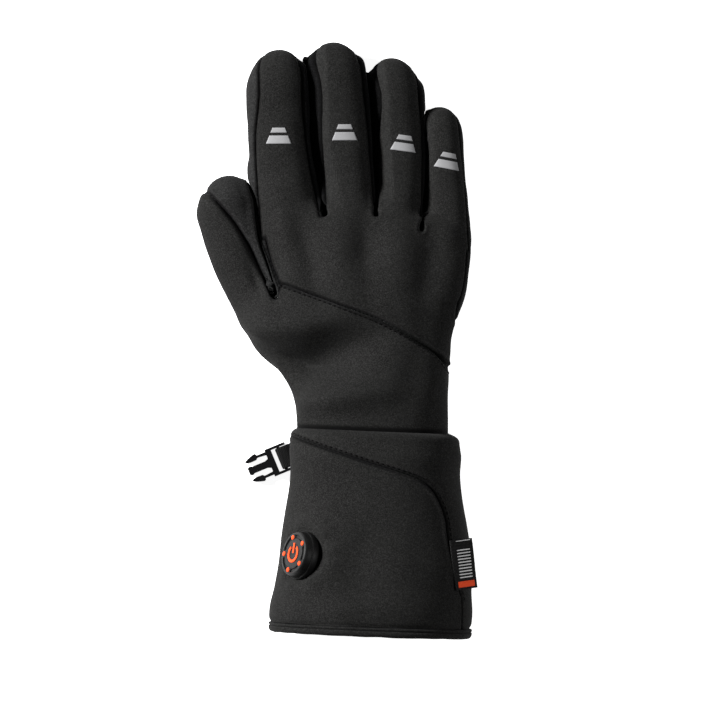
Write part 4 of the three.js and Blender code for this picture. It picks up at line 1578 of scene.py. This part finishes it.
def block(low: Sequence[float], high: Sequence[float]) -> Piece:
    """Adds a block between two corners, in millimetres."""
    bpy.ops.object.select_all(action="DESELECT")
    middle = [(a + b) / 2 * MM for a, b in zip(low, high)]
    bpy.ops.mesh.primitive_cube_add(size=1, location=middle)
    piece = bpy.context.active_object
    piece.scale = [(b - a) * MM for a, b in zip(low, high)]
    bpy.ops.object.transform_apply(location=True, rotation=True, scale=True)
    return piece


def slab(outline: Rows, low: float, high: float) -> Piece:
    """Extrudes a plan outline, in millimetres, between two heights."""
    mesh = bpy.data.meshes.new("slab")
    mesh.from_pydata([(x * MM, y * MM, low * MM) for x, y in outline], [], [range(len(outline))])
    piece = bpy.data.objects.new("slab", mesh)
    bpy.context.scene.collection.objects.link(piece)
    choose(piece)
    bpy.ops.object.mode_set(mode="EDIT")
    bpy.ops.mesh.select_all(action="SELECT")
    bpy.ops.mesh.extrude_region_move(TRANSFORM_OT_translate={"value": (0, 0, (high - low) * MM)})
    bpy.ops.object.mode_set(mode="OBJECT")
    outward(piece)
    return piece


def weld(name: str, pieces: Sequence[Piece], material: Material) -> Piece:
    """Joins overlapping blocks into one solid piece.

    Args:
        name: The piece's name.
        pieces: The blocks.
        material: The finish.

    Returns:
        The piece.
    """
    first, *others = pieces
    for other in others:
        apply_modifier(first, "BOOLEAN", operation="UNION", object=other, solver="EXACT")
        bpy.data.objects.remove(other)
    first.name = name
    first.data.materials.clear()
    first.data.materials.append(material)
    return first


def shade_flats(piece: Piece, sharpest: float = 50.0) -> None:
    """Shades a hard piece smooth up to an angle in degrees, and keeps its flats flat."""
    choose(piece)
    bpy.ops.object.shade_smooth_by_angle(angle=math.radians(sharpest))
    apply_modifier(piece, "WEIGHTED_NORMAL", mode="FACE_AREA", weight=100, keep_sharp=True)


def smooth_edges(piece: Piece, width: float) -> None:
    """Rounds a hard piece's edges by a width in millimetres and shades it smooth."""
    limits = {"limit_method": "ANGLE", "angle_limit": math.radians(28)}
    apply_modifier(piece, "BEVEL", width=width * MM, segments=3, **limits)
    shade_flats(piece)


@dataclass
class PushButton:
    """The round push button: a rubber body with a ring of lights and a generic power sign."""

    place: Matrix
    radius: float = 13.75
    face: float = 12.2
    height: float = 5.0
    groove: tuple[float, float] = (10.6, 8.7)
    light: float = 1.35
    sign: float = 4.4
    stroke: float = 1.6
    opening: float = 76.0
    light_angles: tuple[int, ...] = tuple(range(108, 468, 72))
    bridge_width: float = 4.2

    def body(self, rubber: Material) -> None:
        """Turns the rubber body with its skirt, its lip and its groove."""
        outer, inner = self.groove
        face, top = self.face, self.height
        profile = (
            (10.5, -3.6), (13.2, -3.4), (self.radius, -2.2), (self.radius, -0.6), (13.7, 0.1),
            (13.6, 0.5), (13.4, 0.7), (13.2, 0.6), (13.1, 0.8), (13.0, 1.2), (face + 0.55, 3.2),
            (face + 0.2, 4.1), (face - 0.25, 4.75), (face - 0.85, top), (outer + 0.25, top - 0.05),
            (outer, top - 0.25), (outer - 0.15, top - 0.85), (inner + 0.15, top - 0.85),
            (inner, top - 0.3), (inner - 0.3, top - 0.08), (inner - 2.5, top), (2.5, top + 0.02),
        )
        piece = turned("button_rubber_body", profile, rubber)
        shade_flats(piece)
        place_piece(piece, self.place)
        seat(piece, Slot.RUBBER.value, "button_body")

    def spokes(self, rubber: Material) -> None:
        """Sets a short rubber bridge across the groove beside each light."""
        outer, inner = self.groove
        low, high = self.height - 1.4, self.height - 0.12
        half, bridges = self.bridge_width / 2, []
        for angle in self.light_angles:
            bridge = block((inner - 0.2, -half, low), (outer + 0.25, half, high))
            bridge.data.transform(Matrix.Rotation(math.radians(angle), 4, "Z"))
            bridges.append(bridge)
        choose(*bridges)
        bpy.ops.object.join()
        piece = bpy.context.active_object
        piece.name = "button_bridges"
        piece.data.materials.append(rubber)
        smooth_edges(piece, 0.25)
        place_piece(piece, self.place)
        seat(piece, Slot.RUBBER.value)

    def lights(self, orange: Material) -> None:
        """Makes the five domed lights."""
        ring = sum(self.groove) / 2
        top, size = self.height, self.light
        profile = (
            (size * 0.8, top - 0.9), (size, top - 0.7), (size, top - 0.05),
            (size * 0.93, top + 0.22), (size * 0.7, top + 0.4), (size * 0.3, top + 0.5),
        )
        for number, angle in enumerate(map(math.radians, self.light_angles), 1):
            piece = turned(f"light_{number}", profile, orange, 28)
            spot = Vector((math.cos(angle), math.sin(angle), 0)) * ring * MM
            piece.data.transform(Matrix.Translation(spot))
            choose(piece)
            bpy.ops.object.shade_smooth_by_angle(angle=math.radians(60))
            place_piece(piece, self.place)
            seat(piece, Slot.ORANGE.value, f"button_light_{number}")

    def power_sign(self, orange: Material) -> None:
        """Raises the power sign: an open ring with a bar in its opening."""
        start, end = math.radians(90 + self.opening / 2), math.radians(450 - self.opening / 2)
        angles = np.linspace(start, end, 40)
        out, within = self.sign + self.stroke / 2, self.sign - self.stroke / 2
        arc = [(out * math.cos(a), out * math.sin(a)) for a in angles]
        arc += [(within * math.cos(a), within * math.sin(a)) for a in angles[::-1]]
        half, tall = self.stroke / 2, self.sign + self.stroke
        bar = [(-half, 0.2), (half, 0.2), (half, tall), (-half, tall)]
        for name, outline in (("arc", arc), ("bar", bar)):
            piece = slab(outline, self.height - 0.3, self.height + 0.45)
            piece.name = f"power_sign_{name}"
            piece.data.materials.append(orange)
            smooth_edges(piece, 0.22)
            place_piece(piece, self.place)
            seat(piece, Slot.ORANGE.value, f"button_symbol_{name}")

    def build(self, rubber: Material, orange: Material) -> None:
        """Makes the whole button."""
        self.body(rubber)
        self.spokes(rubber)
        self.lights(orange)
        self.power_sign(orange)


@dataclass
class Buckle:
    """The plug half of a side-release buckle, with two hooked arms and a guiding tongue."""

    length: float = 24.7
    width: float = 16.2
    thickness: float = 4.4
    turn: float = 22.5
    rear: tuple[float, float] = (-42.8, -82.0)
    rail: float = 1.5
    rail_length: float = 8.6
    cross: float = 3.4
    bar_start: float = 3.4
    bar_width: float = 1.9
    bar_thickness: float = 1.4
    tongue: float = 4.0
    arm: float = 1.5
    head_width: float = 3.6
    head_length: float = 7.4
    rounding: float = 0.32

    def place(self) -> Matrix:
        """The frame with X from the rear to the tip and Z up from the table."""
        spin = Matrix.Rotation(math.pi + math.radians(self.turn), 4, "Z")
        return Matrix.Translation((*self.rear, 0)) @ spin

    def arm_outline(self, side: int) -> Rows:
        """The plan of one hooked arm."""
        half, end, root = self.width / 2, self.length, self.rail_length
        outer, head, inner = half - 1.2, end - self.head_length, half - self.head_width
        outline = [
            (root, outer - self.arm - 1.2), (root + self.cross + 0.6, outer - self.arm - 0.4),
            (head - 1, outer - self.arm), (head, outer - self.arm), (head + 1, inner),
            (end - 3, inner - 0.1), (end - 1.2, inner + 0.15), (end - 0.2, inner + 0.7),
            (end, inner + 1.2), (end - 0.6, inner + 1.7), (end - 2, half - 1.25),
            (head + self.head_length * 0.45, half - 0.5), (head + 1.6, half),
            (head + 0.7, half + 0.05), (head + 0.1, half - 0.4), (head, outer), (root, outer),
        ]
        return [(x, side * y) for x, y in outline]

    def tongue_outline(self) -> Rows:
        """The plan of the tongue: a flared root, straight sides and a small head."""
        end, tip, half = self.rail_length + self.cross, self.length, self.tongue / 2
        side = [
            (end - 1, -3.6), (end + 0.4, -2.6), (end + 2, -half), (tip - 2.6, -half),
            (tip - 2, -half - 0.5), (tip - 0.5, -half - 0.4), (tip, -half + 0.2),
        ]
        return side + [(x, -y) for x, y in side[::-1]]

    def build(self, plastic: Material) -> None:
        """Makes the moulded half."""
        half, high = self.width / 2, self.thickness
        end, middle = self.rail_length + self.cross, self.thickness / 2
        low, top = middle - self.bar_thickness / 2, middle + self.bar_thickness / 2
        bar_end, overlap = self.bar_start + self.bar_width, 0.3
        pieces = [
            block((self.rail_length, -half, 0.01), (end, half, high - 0.01)),
            block((0, -half, 0), (end - overlap, -half + self.rail, high)),
            block((0, half - self.rail, 0), (end - overlap, half, high)),
            block((self.bar_start, -half + 0.5, low), (bar_end, half - 0.5, top)),
            slab(self.tongue_outline(), 0.65, high - 0.65),
            *(slab(self.arm_outline(side), high * 0.15, high * 0.85) for side in (1, -1)),
        ]
        piece = weld("buckle_plug", pieces, plastic)
        smooth_edges(piece, self.rounding)
        place_piece(piece, self.place())
        seat(piece, Slot.PLASTIC.value, "buckle_half")


@dataclass
class Webbing:
    """The strip of webbing that folds round the buckle's bar and runs under the cuff."""

    buckle: Buckle
    thickness: float = 1.0
    run: float = 18.0
    columns: int = 25

    def build(self, tape: Material) -> None:
        """Makes the folded strip as one closed band, with its rows along the path."""
        buckle, t = self.buckle, self.thickness
        middle = buckle.thickness / 2
        half = buckle.width / 2 - buckle.rail - 0.35
        eye = buckle.bar_thickness / 2 + 0.3 + t / 2
        nose = buckle.bar_start + buckle.bar_width / 2 + 0.1
        upper = [
            (-self.run, middle + t * 0.52), (-self.run * 0.6, middle + t * 0.54),
            (-5, middle + t * 0.6), (-1.5, middle + t * 0.75),
            (0.6, middle + eye * 0.92), (nose - 1.2, middle + eye),
        ]
        bend = np.linspace(0, math.pi, 9)
        path = upper + [(nose + eye * math.sin(a), middle + eye * math.cos(a)) for a in bend]
        path += [(x, 2 * middle - z) for x, z in upper[::-1]]
        line = smooth_line(path, 3)
        run = path_run(line)
        along = unit(np.gradient(line, axis=0))
        out = np.stack([-along[:, 1], along[:, 0]], axis=1)
        across = np.linspace(-half, half, self.columns)
        edge = 0.5 * np.sqrt(np.clip(1 - (np.abs(across) / half) ** 16, 0, 1)) * t
        x, z = line[:, :1], line[:, 1:]
        y = np.tile(across, (len(line), 1))
        aside, up = out[:, :1] * edge, out[:, 1:] * edge
        top = np.stack([x + aside, y, z + up], axis=-1).reshape(-1, 3)
        bottom = np.stack([x - aside, y, z - up], axis=-1).reshape(-1, 3)
        places = np.column_stack([np.repeat(run, self.columns), y.ravel()])
        points, faces = walled(Skin(top, grid_quads(len(line), self.columns)), bottom)
        points[:, 2] = np.maximum(points[:, 2], 0.05)
        piece = new_object("webbing_strip", points, faces, tape)
        with_map(piece, np.tile(places, (2, 1)))
        outward(piece)
        place_piece(piece, buckle.place())
        seat(piece, Slot.TAPE.value, "webbing_tab")


@dataclass
class SideLabel:
    """The woven label, held at its inner edge in the cuff's seam, with plain woven bars."""

    form: CuffForm
    length: float = 28.0
    width: float = 14.0
    thickness: float = 0.7
    tuck: float = 1.2
    down: float = 0.64
    turn: float = 39.6
    slope: float = 38.0
    swing: float = 7.0

    def place(self) -> Matrix:
        """The frame with X across the label, away from the seam, and Y along it."""
        start = Vector(self.form.at(self.down, np.array([math.radians(self.turn)]))[0])
        swing = Matrix.Rotation(math.radians(self.swing), 4, "Z")
        return Matrix.Translation(start) @ swing @ Matrix.Rotation(math.radians(self.slope), 4, "Y")

    def level(self, x: Array, y: Array) -> Array:
        """The label's gentle curl over its plan."""
        return 0.75 + 0.5 * (x / self.width) ** 2 + 0.25 * np.sin(y / 5.5) * (x / self.width)

    def patch(
        self, low: tuple[float, float], high: tuple[float, float], lift: float, thick: float
    ) -> tuple[Array, Array, Array]:
        """A thin patch that follows the label.

        Args:
            low: Its lowest corner on the label.
            high: Its highest corner.
            lift: How far it lies over the label's middle.
            thick: Its thickness.

        Returns:
            Its points, faces and map.
        """
        columns = max(3, int((high[0] - low[0]) / 0.5) + 1)
        rows = max(3, int((high[1] - low[1]) / 0.6) + 1)
        across, along = np.linspace(low[0], high[0], columns), np.linspace(low[1], high[1], rows)
        y, x = (side.ravel() for side in np.meshgrid(along, across, indexing="ij"))
        upper = np.column_stack([x, y, self.level(x, y) + lift])
        points, faces = walled(Skin(upper, grid_quads(rows, columns)), upper - (0, 0, thick))
        return points, faces, points[:, :2]

    def build(self, tape: Material, white: Material, orange: Material) -> None:
        """Makes the label and its woven bars as one piece."""
        half, wide, thick = self.length / 2, self.width, self.thickness
        black, bright, warm = range(3)
        lift = thick / 2 + 0.08
        parts = [
            (self.patch((-self.tuck, -half), (wide, half), thick / 2, thick), black),
            (self.patch((0.8, -half + 1.2), (wide - 1.6, -half + 4.6), lift, 0.16), warm),
            *(
                (self.patch((2.6, y), (wide - 2.4, y + 0.65), lift, 0.16), bright)
                for y in np.arange(-half + 6.4, half - 5, 1.7)
            ),
            (self.patch((2.8, half - 1.0), (wide - 1.4, half - 0.6), lift, 0.2), bright),
        ]
        points, faces, places, marks = [], [], [], []
        for (patch, quads, spots), mark in parts:
            faces.append(quads + sum(map(len, points)))
            points.append(patch)
            places.append(spots)
            marks += [mark] * len(quads)
        piece = new_object("woven_label", np.vstack(points), np.vstack(faces), tape, white, orange)
        piece.data.polygons.foreach_set("material_index", marks)
        with_map(piece, np.vstack(places))
        outward(piece)
        place_piece(piece, self.place())
        seat(piece, Slot.TAPE.value, "side_label")


def land(tree: BVHTree, places: Array, keep_missed: bool = True) -> tuple[Array, Array]:
    """Drops plan points, in millimetres, onto a skin from above.

    Args:
        tree: The skin's tree.
        places: The plan points.
        keep_missed: Whether points beside the skin move to the nearest place on it, or fall away.

    Returns:
        Where they land, and the skin's normals there.
    """
    spots, normals = [], []
    for x, y in places:
        spot, normal, _, _ = tree.ray_cast(Vector((x * MM, y * MM, 0.2)), Vector((0, 0, -1)))
        if spot is None and keep_missed:
            spot, normal, _, _ = tree.find_nearest(Vector((x * MM, y * MM, 0.03)))
        if spot is not None:
            spots.append(tuple(spot / MM))
            normals.append(tuple(normal))
    return np.array(spots), np.array(normals)


@dataclass
class FingerMark:
    """A tapered reflective mark of two bands, printed on a finger."""

    digit: Digit
    along: float
    turn: float
    aside: float
    length: float = 9.0
    top: float = 7.0
    bottom: float = 14.2
    gap: float = 1.6
    upper: float = 2.8
    lifts: tuple[float, float] = (0.22, -0.1)
    columns: int = 24

    def build(self, skin: BVHTree, film: Material) -> None:
        """Lays both bands on the finger's skin."""
        middle = self.digit.place(np.array(self.along * self.digit.length), np.array(self.aside))
        angle = math.radians(self.turn)
        start = self.length - self.upper
        for name, low, high in (("lower", 0, start - self.gap), ("upper", start, self.length)):
            rows = int((high - low) / 0.6) + 2
            y, share = np.meshgrid(
                np.linspace(low, high, rows), np.linspace(-1, 1, self.columns), indexing="ij"
            )
            x = (share * (self.bottom + (self.top - self.bottom) * y / self.length) / 2).ravel()
            y = y.ravel()
            reach = y - self.length / 2
            across = middle[0] + x * math.cos(angle) - reach * math.sin(angle)
            along = middle[1] + x * math.sin(angle) + reach * math.cos(angle)
            spots, normals = land(skin, np.column_stack([across, along]))
            upper, lower = (spots + normals * lift for lift in self.lifts)
            points, faces = walled(Skin(upper, grid_quads(rows, self.columns)), lower)
            piece = new_object(f"print_{self.digit.name}_{name}", points, faces, film)
            with_map(piece, np.tile(np.column_stack([x, y]), (2, 1)))
            seat(piece, Slot.MARK.value, f"mark_{self.digit.name}_{name}")


@dataclass
class StitchRow:
    """A row of short stitches along a line on the skin."""

    name: str
    pitch: float = 3.1
    length: float = 2.3
    width: float = 0.85
    thinnest: float = 0.12
    sides: int = 6
    profile: Rows = (
        (-1, 0.0, -0.3), (-0.82, 0.6, 0.1), (-0.3, 1, 0.5),
        (0.3, 1, 0.5), (0.82, 0.6, 0.1), (1, 0.0, -0.3),
    )

    def build(self, spots: Array, normals: Array, thread: Material) -> None:
        """Sews the row.

        Args:
            spots: Points along the line, close together, on the skin.
            normals: The skin's normals there.
            thread: The thread's finish.
        """
        run = path_run(spots)
        share, size, lift = np.array(self.profile).T
        reach, rise_up = share * self.length / 2, lift * self.width * 0.5
        radius = np.maximum(size, self.thinnest) * self.width / 2
        turns = 2 * math.pi * np.arange(self.sides) / self.sides
        sides = np.roll(ring_quads(len(self.profile), self.sides)[:, ::-1], 1, axis=1)
        count = len(share) * self.sides
        first, last = range(self.sides)[::-1], range(count - self.sides, count)
        points, faces = [], []
        for start in np.arange(self.pitch / 2, run[-1] - self.length, self.pitch):
            near, far = (
                np.array([np.interp(at, run, column) for column in spots.T])
                for at in (start, start + self.length)
            )
            up = np.array([np.interp(start + self.length / 2, run, side) for side in normals.T])
            along = unit(far - near)
            across = unit(np.cross(up, along))
            centre = (near + far) / 2 + np.outer(reach, along) + np.outer(rise_up, up)
            around = np.outer(np.cos(turns), across) + np.outer(np.sin(turns), up)
            base = len(points) * count
            faces += [[base + corner for corner in face] for face in (*sides.tolist(), first, last)]
            points.append((centre[:, None] + radius[:, None, None] * around).reshape(-1, 3))
        piece = new_object(self.name, np.vstack(points), faces, thread)
        outward(piece)
        seat(piece, Slot.OUTER.value)
        log.info("%s: %d stitches", self.name, len(points))


def along_seam(tree: BVHTree, line: Array, aside: float) -> tuple[Array, Array]:
    """Drops a line beside a seam onto the skin.

    Args:
        tree: The skin's tree.
        line: The seam's plan.
        aside: The distance from it, to the right of the line's way.

    Returns:
        The points and the skin's normals there.
    """
    way = unit(np.gradient(line, axis=0))
    return land(tree, line + aside * np.column_stack([way[:, 1], -way[:, 0]]), keep_missed=False)


# The studio


@dataclass
class Studio:
    """A pale floor, soft lights and the camera straight above."""

    middle: tuple[float, float] = (-0.0028, -0.0282)
    height: float = 5.0
    view: float = 0.4074
    glow: float = 0.9
    sky: float = 0.1
    sensor: float = 36.0

    def light(self, name: str, place: Sequence[float], size: float, power: float) -> None:
        """Adds a soft square light that looks at the glove."""
        lamp = bpy.data.lights.new(name, "AREA")
        lamp.size, lamp.energy = size, power
        holder = bpy.data.objects.new(name, lamp)
        holder.location = place
        holder.rotation_euler = (-Vector(place)).to_track_quat("-Z", "Y").to_euler()
        bpy.context.scene.collection.objects.link(holder)

    def floor(self) -> None:
        """Lays the pale floor."""
        material = bpy.data.materials.new("pale_floor")
        material.use_nodes = True
        tree = material.node_tree
        shader = tree.nodes["Principled BSDF"]
        place = add_node(tree, "ShaderNodeTexCoord").outputs["Object"]
        greys = ((0.93, 0.93, 0.93, 1), (0.95, 0.95, 0.95, 1))
        colour = blend_colour(tree, noise(tree, place, 3.0), *greys)
        tree.links.new(colour, shader.inputs["Base Color"])
        shader.inputs["Roughness"].default_value = 0.9
        shader.inputs["Emission Color"].default_value = (1, 1, 1, 1)
        shader.inputs["Emission Strength"].default_value = self.glow
        reach, level = 4000.0, -0.1
        corners = [(x * reach, y * reach, level) for x, y in ((-1, -1), (1, -1), (1, 1), (-1, 1))]
        floor = new_object("studio_floor", corners, [(0, 1, 2, 3)], material)
        floor.visible_diffuse = False

    def build(self) -> None:
        """Sets up the camera, the lights and the floor."""
        lens = bpy.data.cameras.new("camera")
        lens.sensor_width = self.sensor
        lens.lens = self.sensor * self.height / self.view
        lens.clip_end = 50
        camera = bpy.data.objects.new("camera", lens)
        camera.location = (*self.middle, self.height)
        bpy.context.scene.collection.objects.link(camera)
        bpy.context.scene.camera = camera
        world = bpy.data.worlds.new("studio_world")
        world.use_nodes = True
        sky = world.node_tree.nodes["Background"]
        sky.inputs["Color"].default_value = (1, 1, 1, 1)
        sky.inputs["Strength"].default_value = self.sky
        bpy.context.scene.world = world
        bpy.context.scene.view_settings.view_transform = "Standard"
        self.light("key_light", (-1.72, 0.68, 0.95), 0.4, 130)
        self.light("fill_light", (1.7, -0.2, 1.3), 0.8, 20)
        self.floor()


def finishes(effects: Effects) -> dict[str, Material]:
    """Builds every finish, by its name."""
    soft, dull, polished = (0.6, 0.85), (0.5, 0.7), (0.22, 0.32)
    black = (0.002, 0.002, 0.002)
    kinds = (
        Cloth("shell_cloth", (0.005, 0.005, 0.0048), (0.03, 0.0297, 0.029)),
        Cloth("palm_cloth", (0.007, 0.007, 0.007), (0.034, 0.034, 0.034), yarn=1700),
        # The side walls' cloth is darker: partly a darker fabric, partly painted shade between the
        # fingers.
        Cloth("wall_cloth", (0.001, 0.001, 0.0011), (0.0075, 0.0075, 0.008), yarn=1700),
        Cloth("lining_cloth", (0.006, 0.006, 0.006), (0.02, 0.02, 0.02), yarn=700, sheen=0.2),
        Moulded("sewing_thread", black, (0.008, 0.008, 0.008), dull, 0.3),
        Moulded("soft_rubber", (0.0018,) * 3, (0.008, 0.008, 0.008), (0.38, 0.52), 0.25, 0.16),
        Moulded("orange_print", (0.75, 0.07, 0.018), (0.9, 0.12, 0.03), (0.35, 0.5), 0.1),
        Moulded(
            "glossy_plastic", (0.0015, 0.0015, 0.002), (0.005, 0.005, 0.006), polished, 0.05, 0.42
        ),
        Moulded(
            "reflective_film", (0.23, 0.23, 0.235), (0.33, 0.33, 0.335), (0.3, 0.5), 0.3, grain=3500
        ),
        Woven("black_tape", black, (0.012, 0.012, 0.012), soft, 0.6),
        Woven("white_thread", (0.5, 0.5, 0.5), (0.85, 0.85, 0.85), soft, 0.5),
        Woven("orange_thread", (0.7, 0.06, 0.02), (0.9, 0.1, 0.03), soft, 0.5),
    )
    return {kind.name: kind.build(effects) for kind in kinds}


def main() -> None:
    """Builds the glove, piece by piece."""
    logging.basicConfig(level=logging.INFO, format="%(name)s: %(message)s")
    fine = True
    Studio().build()
    finish = finishes(Effects())
    shell, palm = finish["shell_cloth"], finish["palm_cloth"]
    rubber, orange, tape = finish["soft_rubber"], finish["orange_print"], finish["black_tape"]

    hand = HandShell(voxel=0.85 if fine else 1.6)
    cloths = {Panel.PALM: palm, Panel.THUMB: palm, Panel.BACK: shell, Panel.WRIST: shell}
    hand_skin = hand.build(lambda panel: cloths.get(panel, finish["wall_cloth"]))
    form = CuffForm()
    button = form.frame(*form.button_spot)
    cuff = Cuff(form, around=380 if fine else 180, step=0.9 if fine else 2.0)
    cuff_skin = cuff.build(button, shell, finish["lining_cloth"])
    HemBand(form, around=360 if fine else 200).build(shell)
    PushButton(button).build(rubber, orange)
    buckle = Buckle()
    buckle.build(finish["glossy_plastic"])
    Webbing(buckle).build(tape)
    SideLabel(form).build(tape, finish["white_thread"], finish["orange_thread"])
    spots = ((0.47, 0, 0), (0.46, 0, 2), (0.465, -8, 3.4), (0.565, -11, 2))
    for digit, spot in zip(hand.digits, spots):
        FingerMark(digit, *spot).build(hand_skin, finish["reflective_film"])
    for name, skin, line, aside in (
        ("hand_seam_stitches", hand_skin, palm_points(hand.seams.hand), 1.9),
        ("cuff_seam_stitches", cuff_skin, cuff_points(cuff.seam[:-1]), -1.7),
    ):
        sewn = along_seam(skin, smooth_line(line, 24), aside)
        StitchRow(name).build(*sewn, finish["sewing_thread"])


if __name__ == "__main__":
    main()
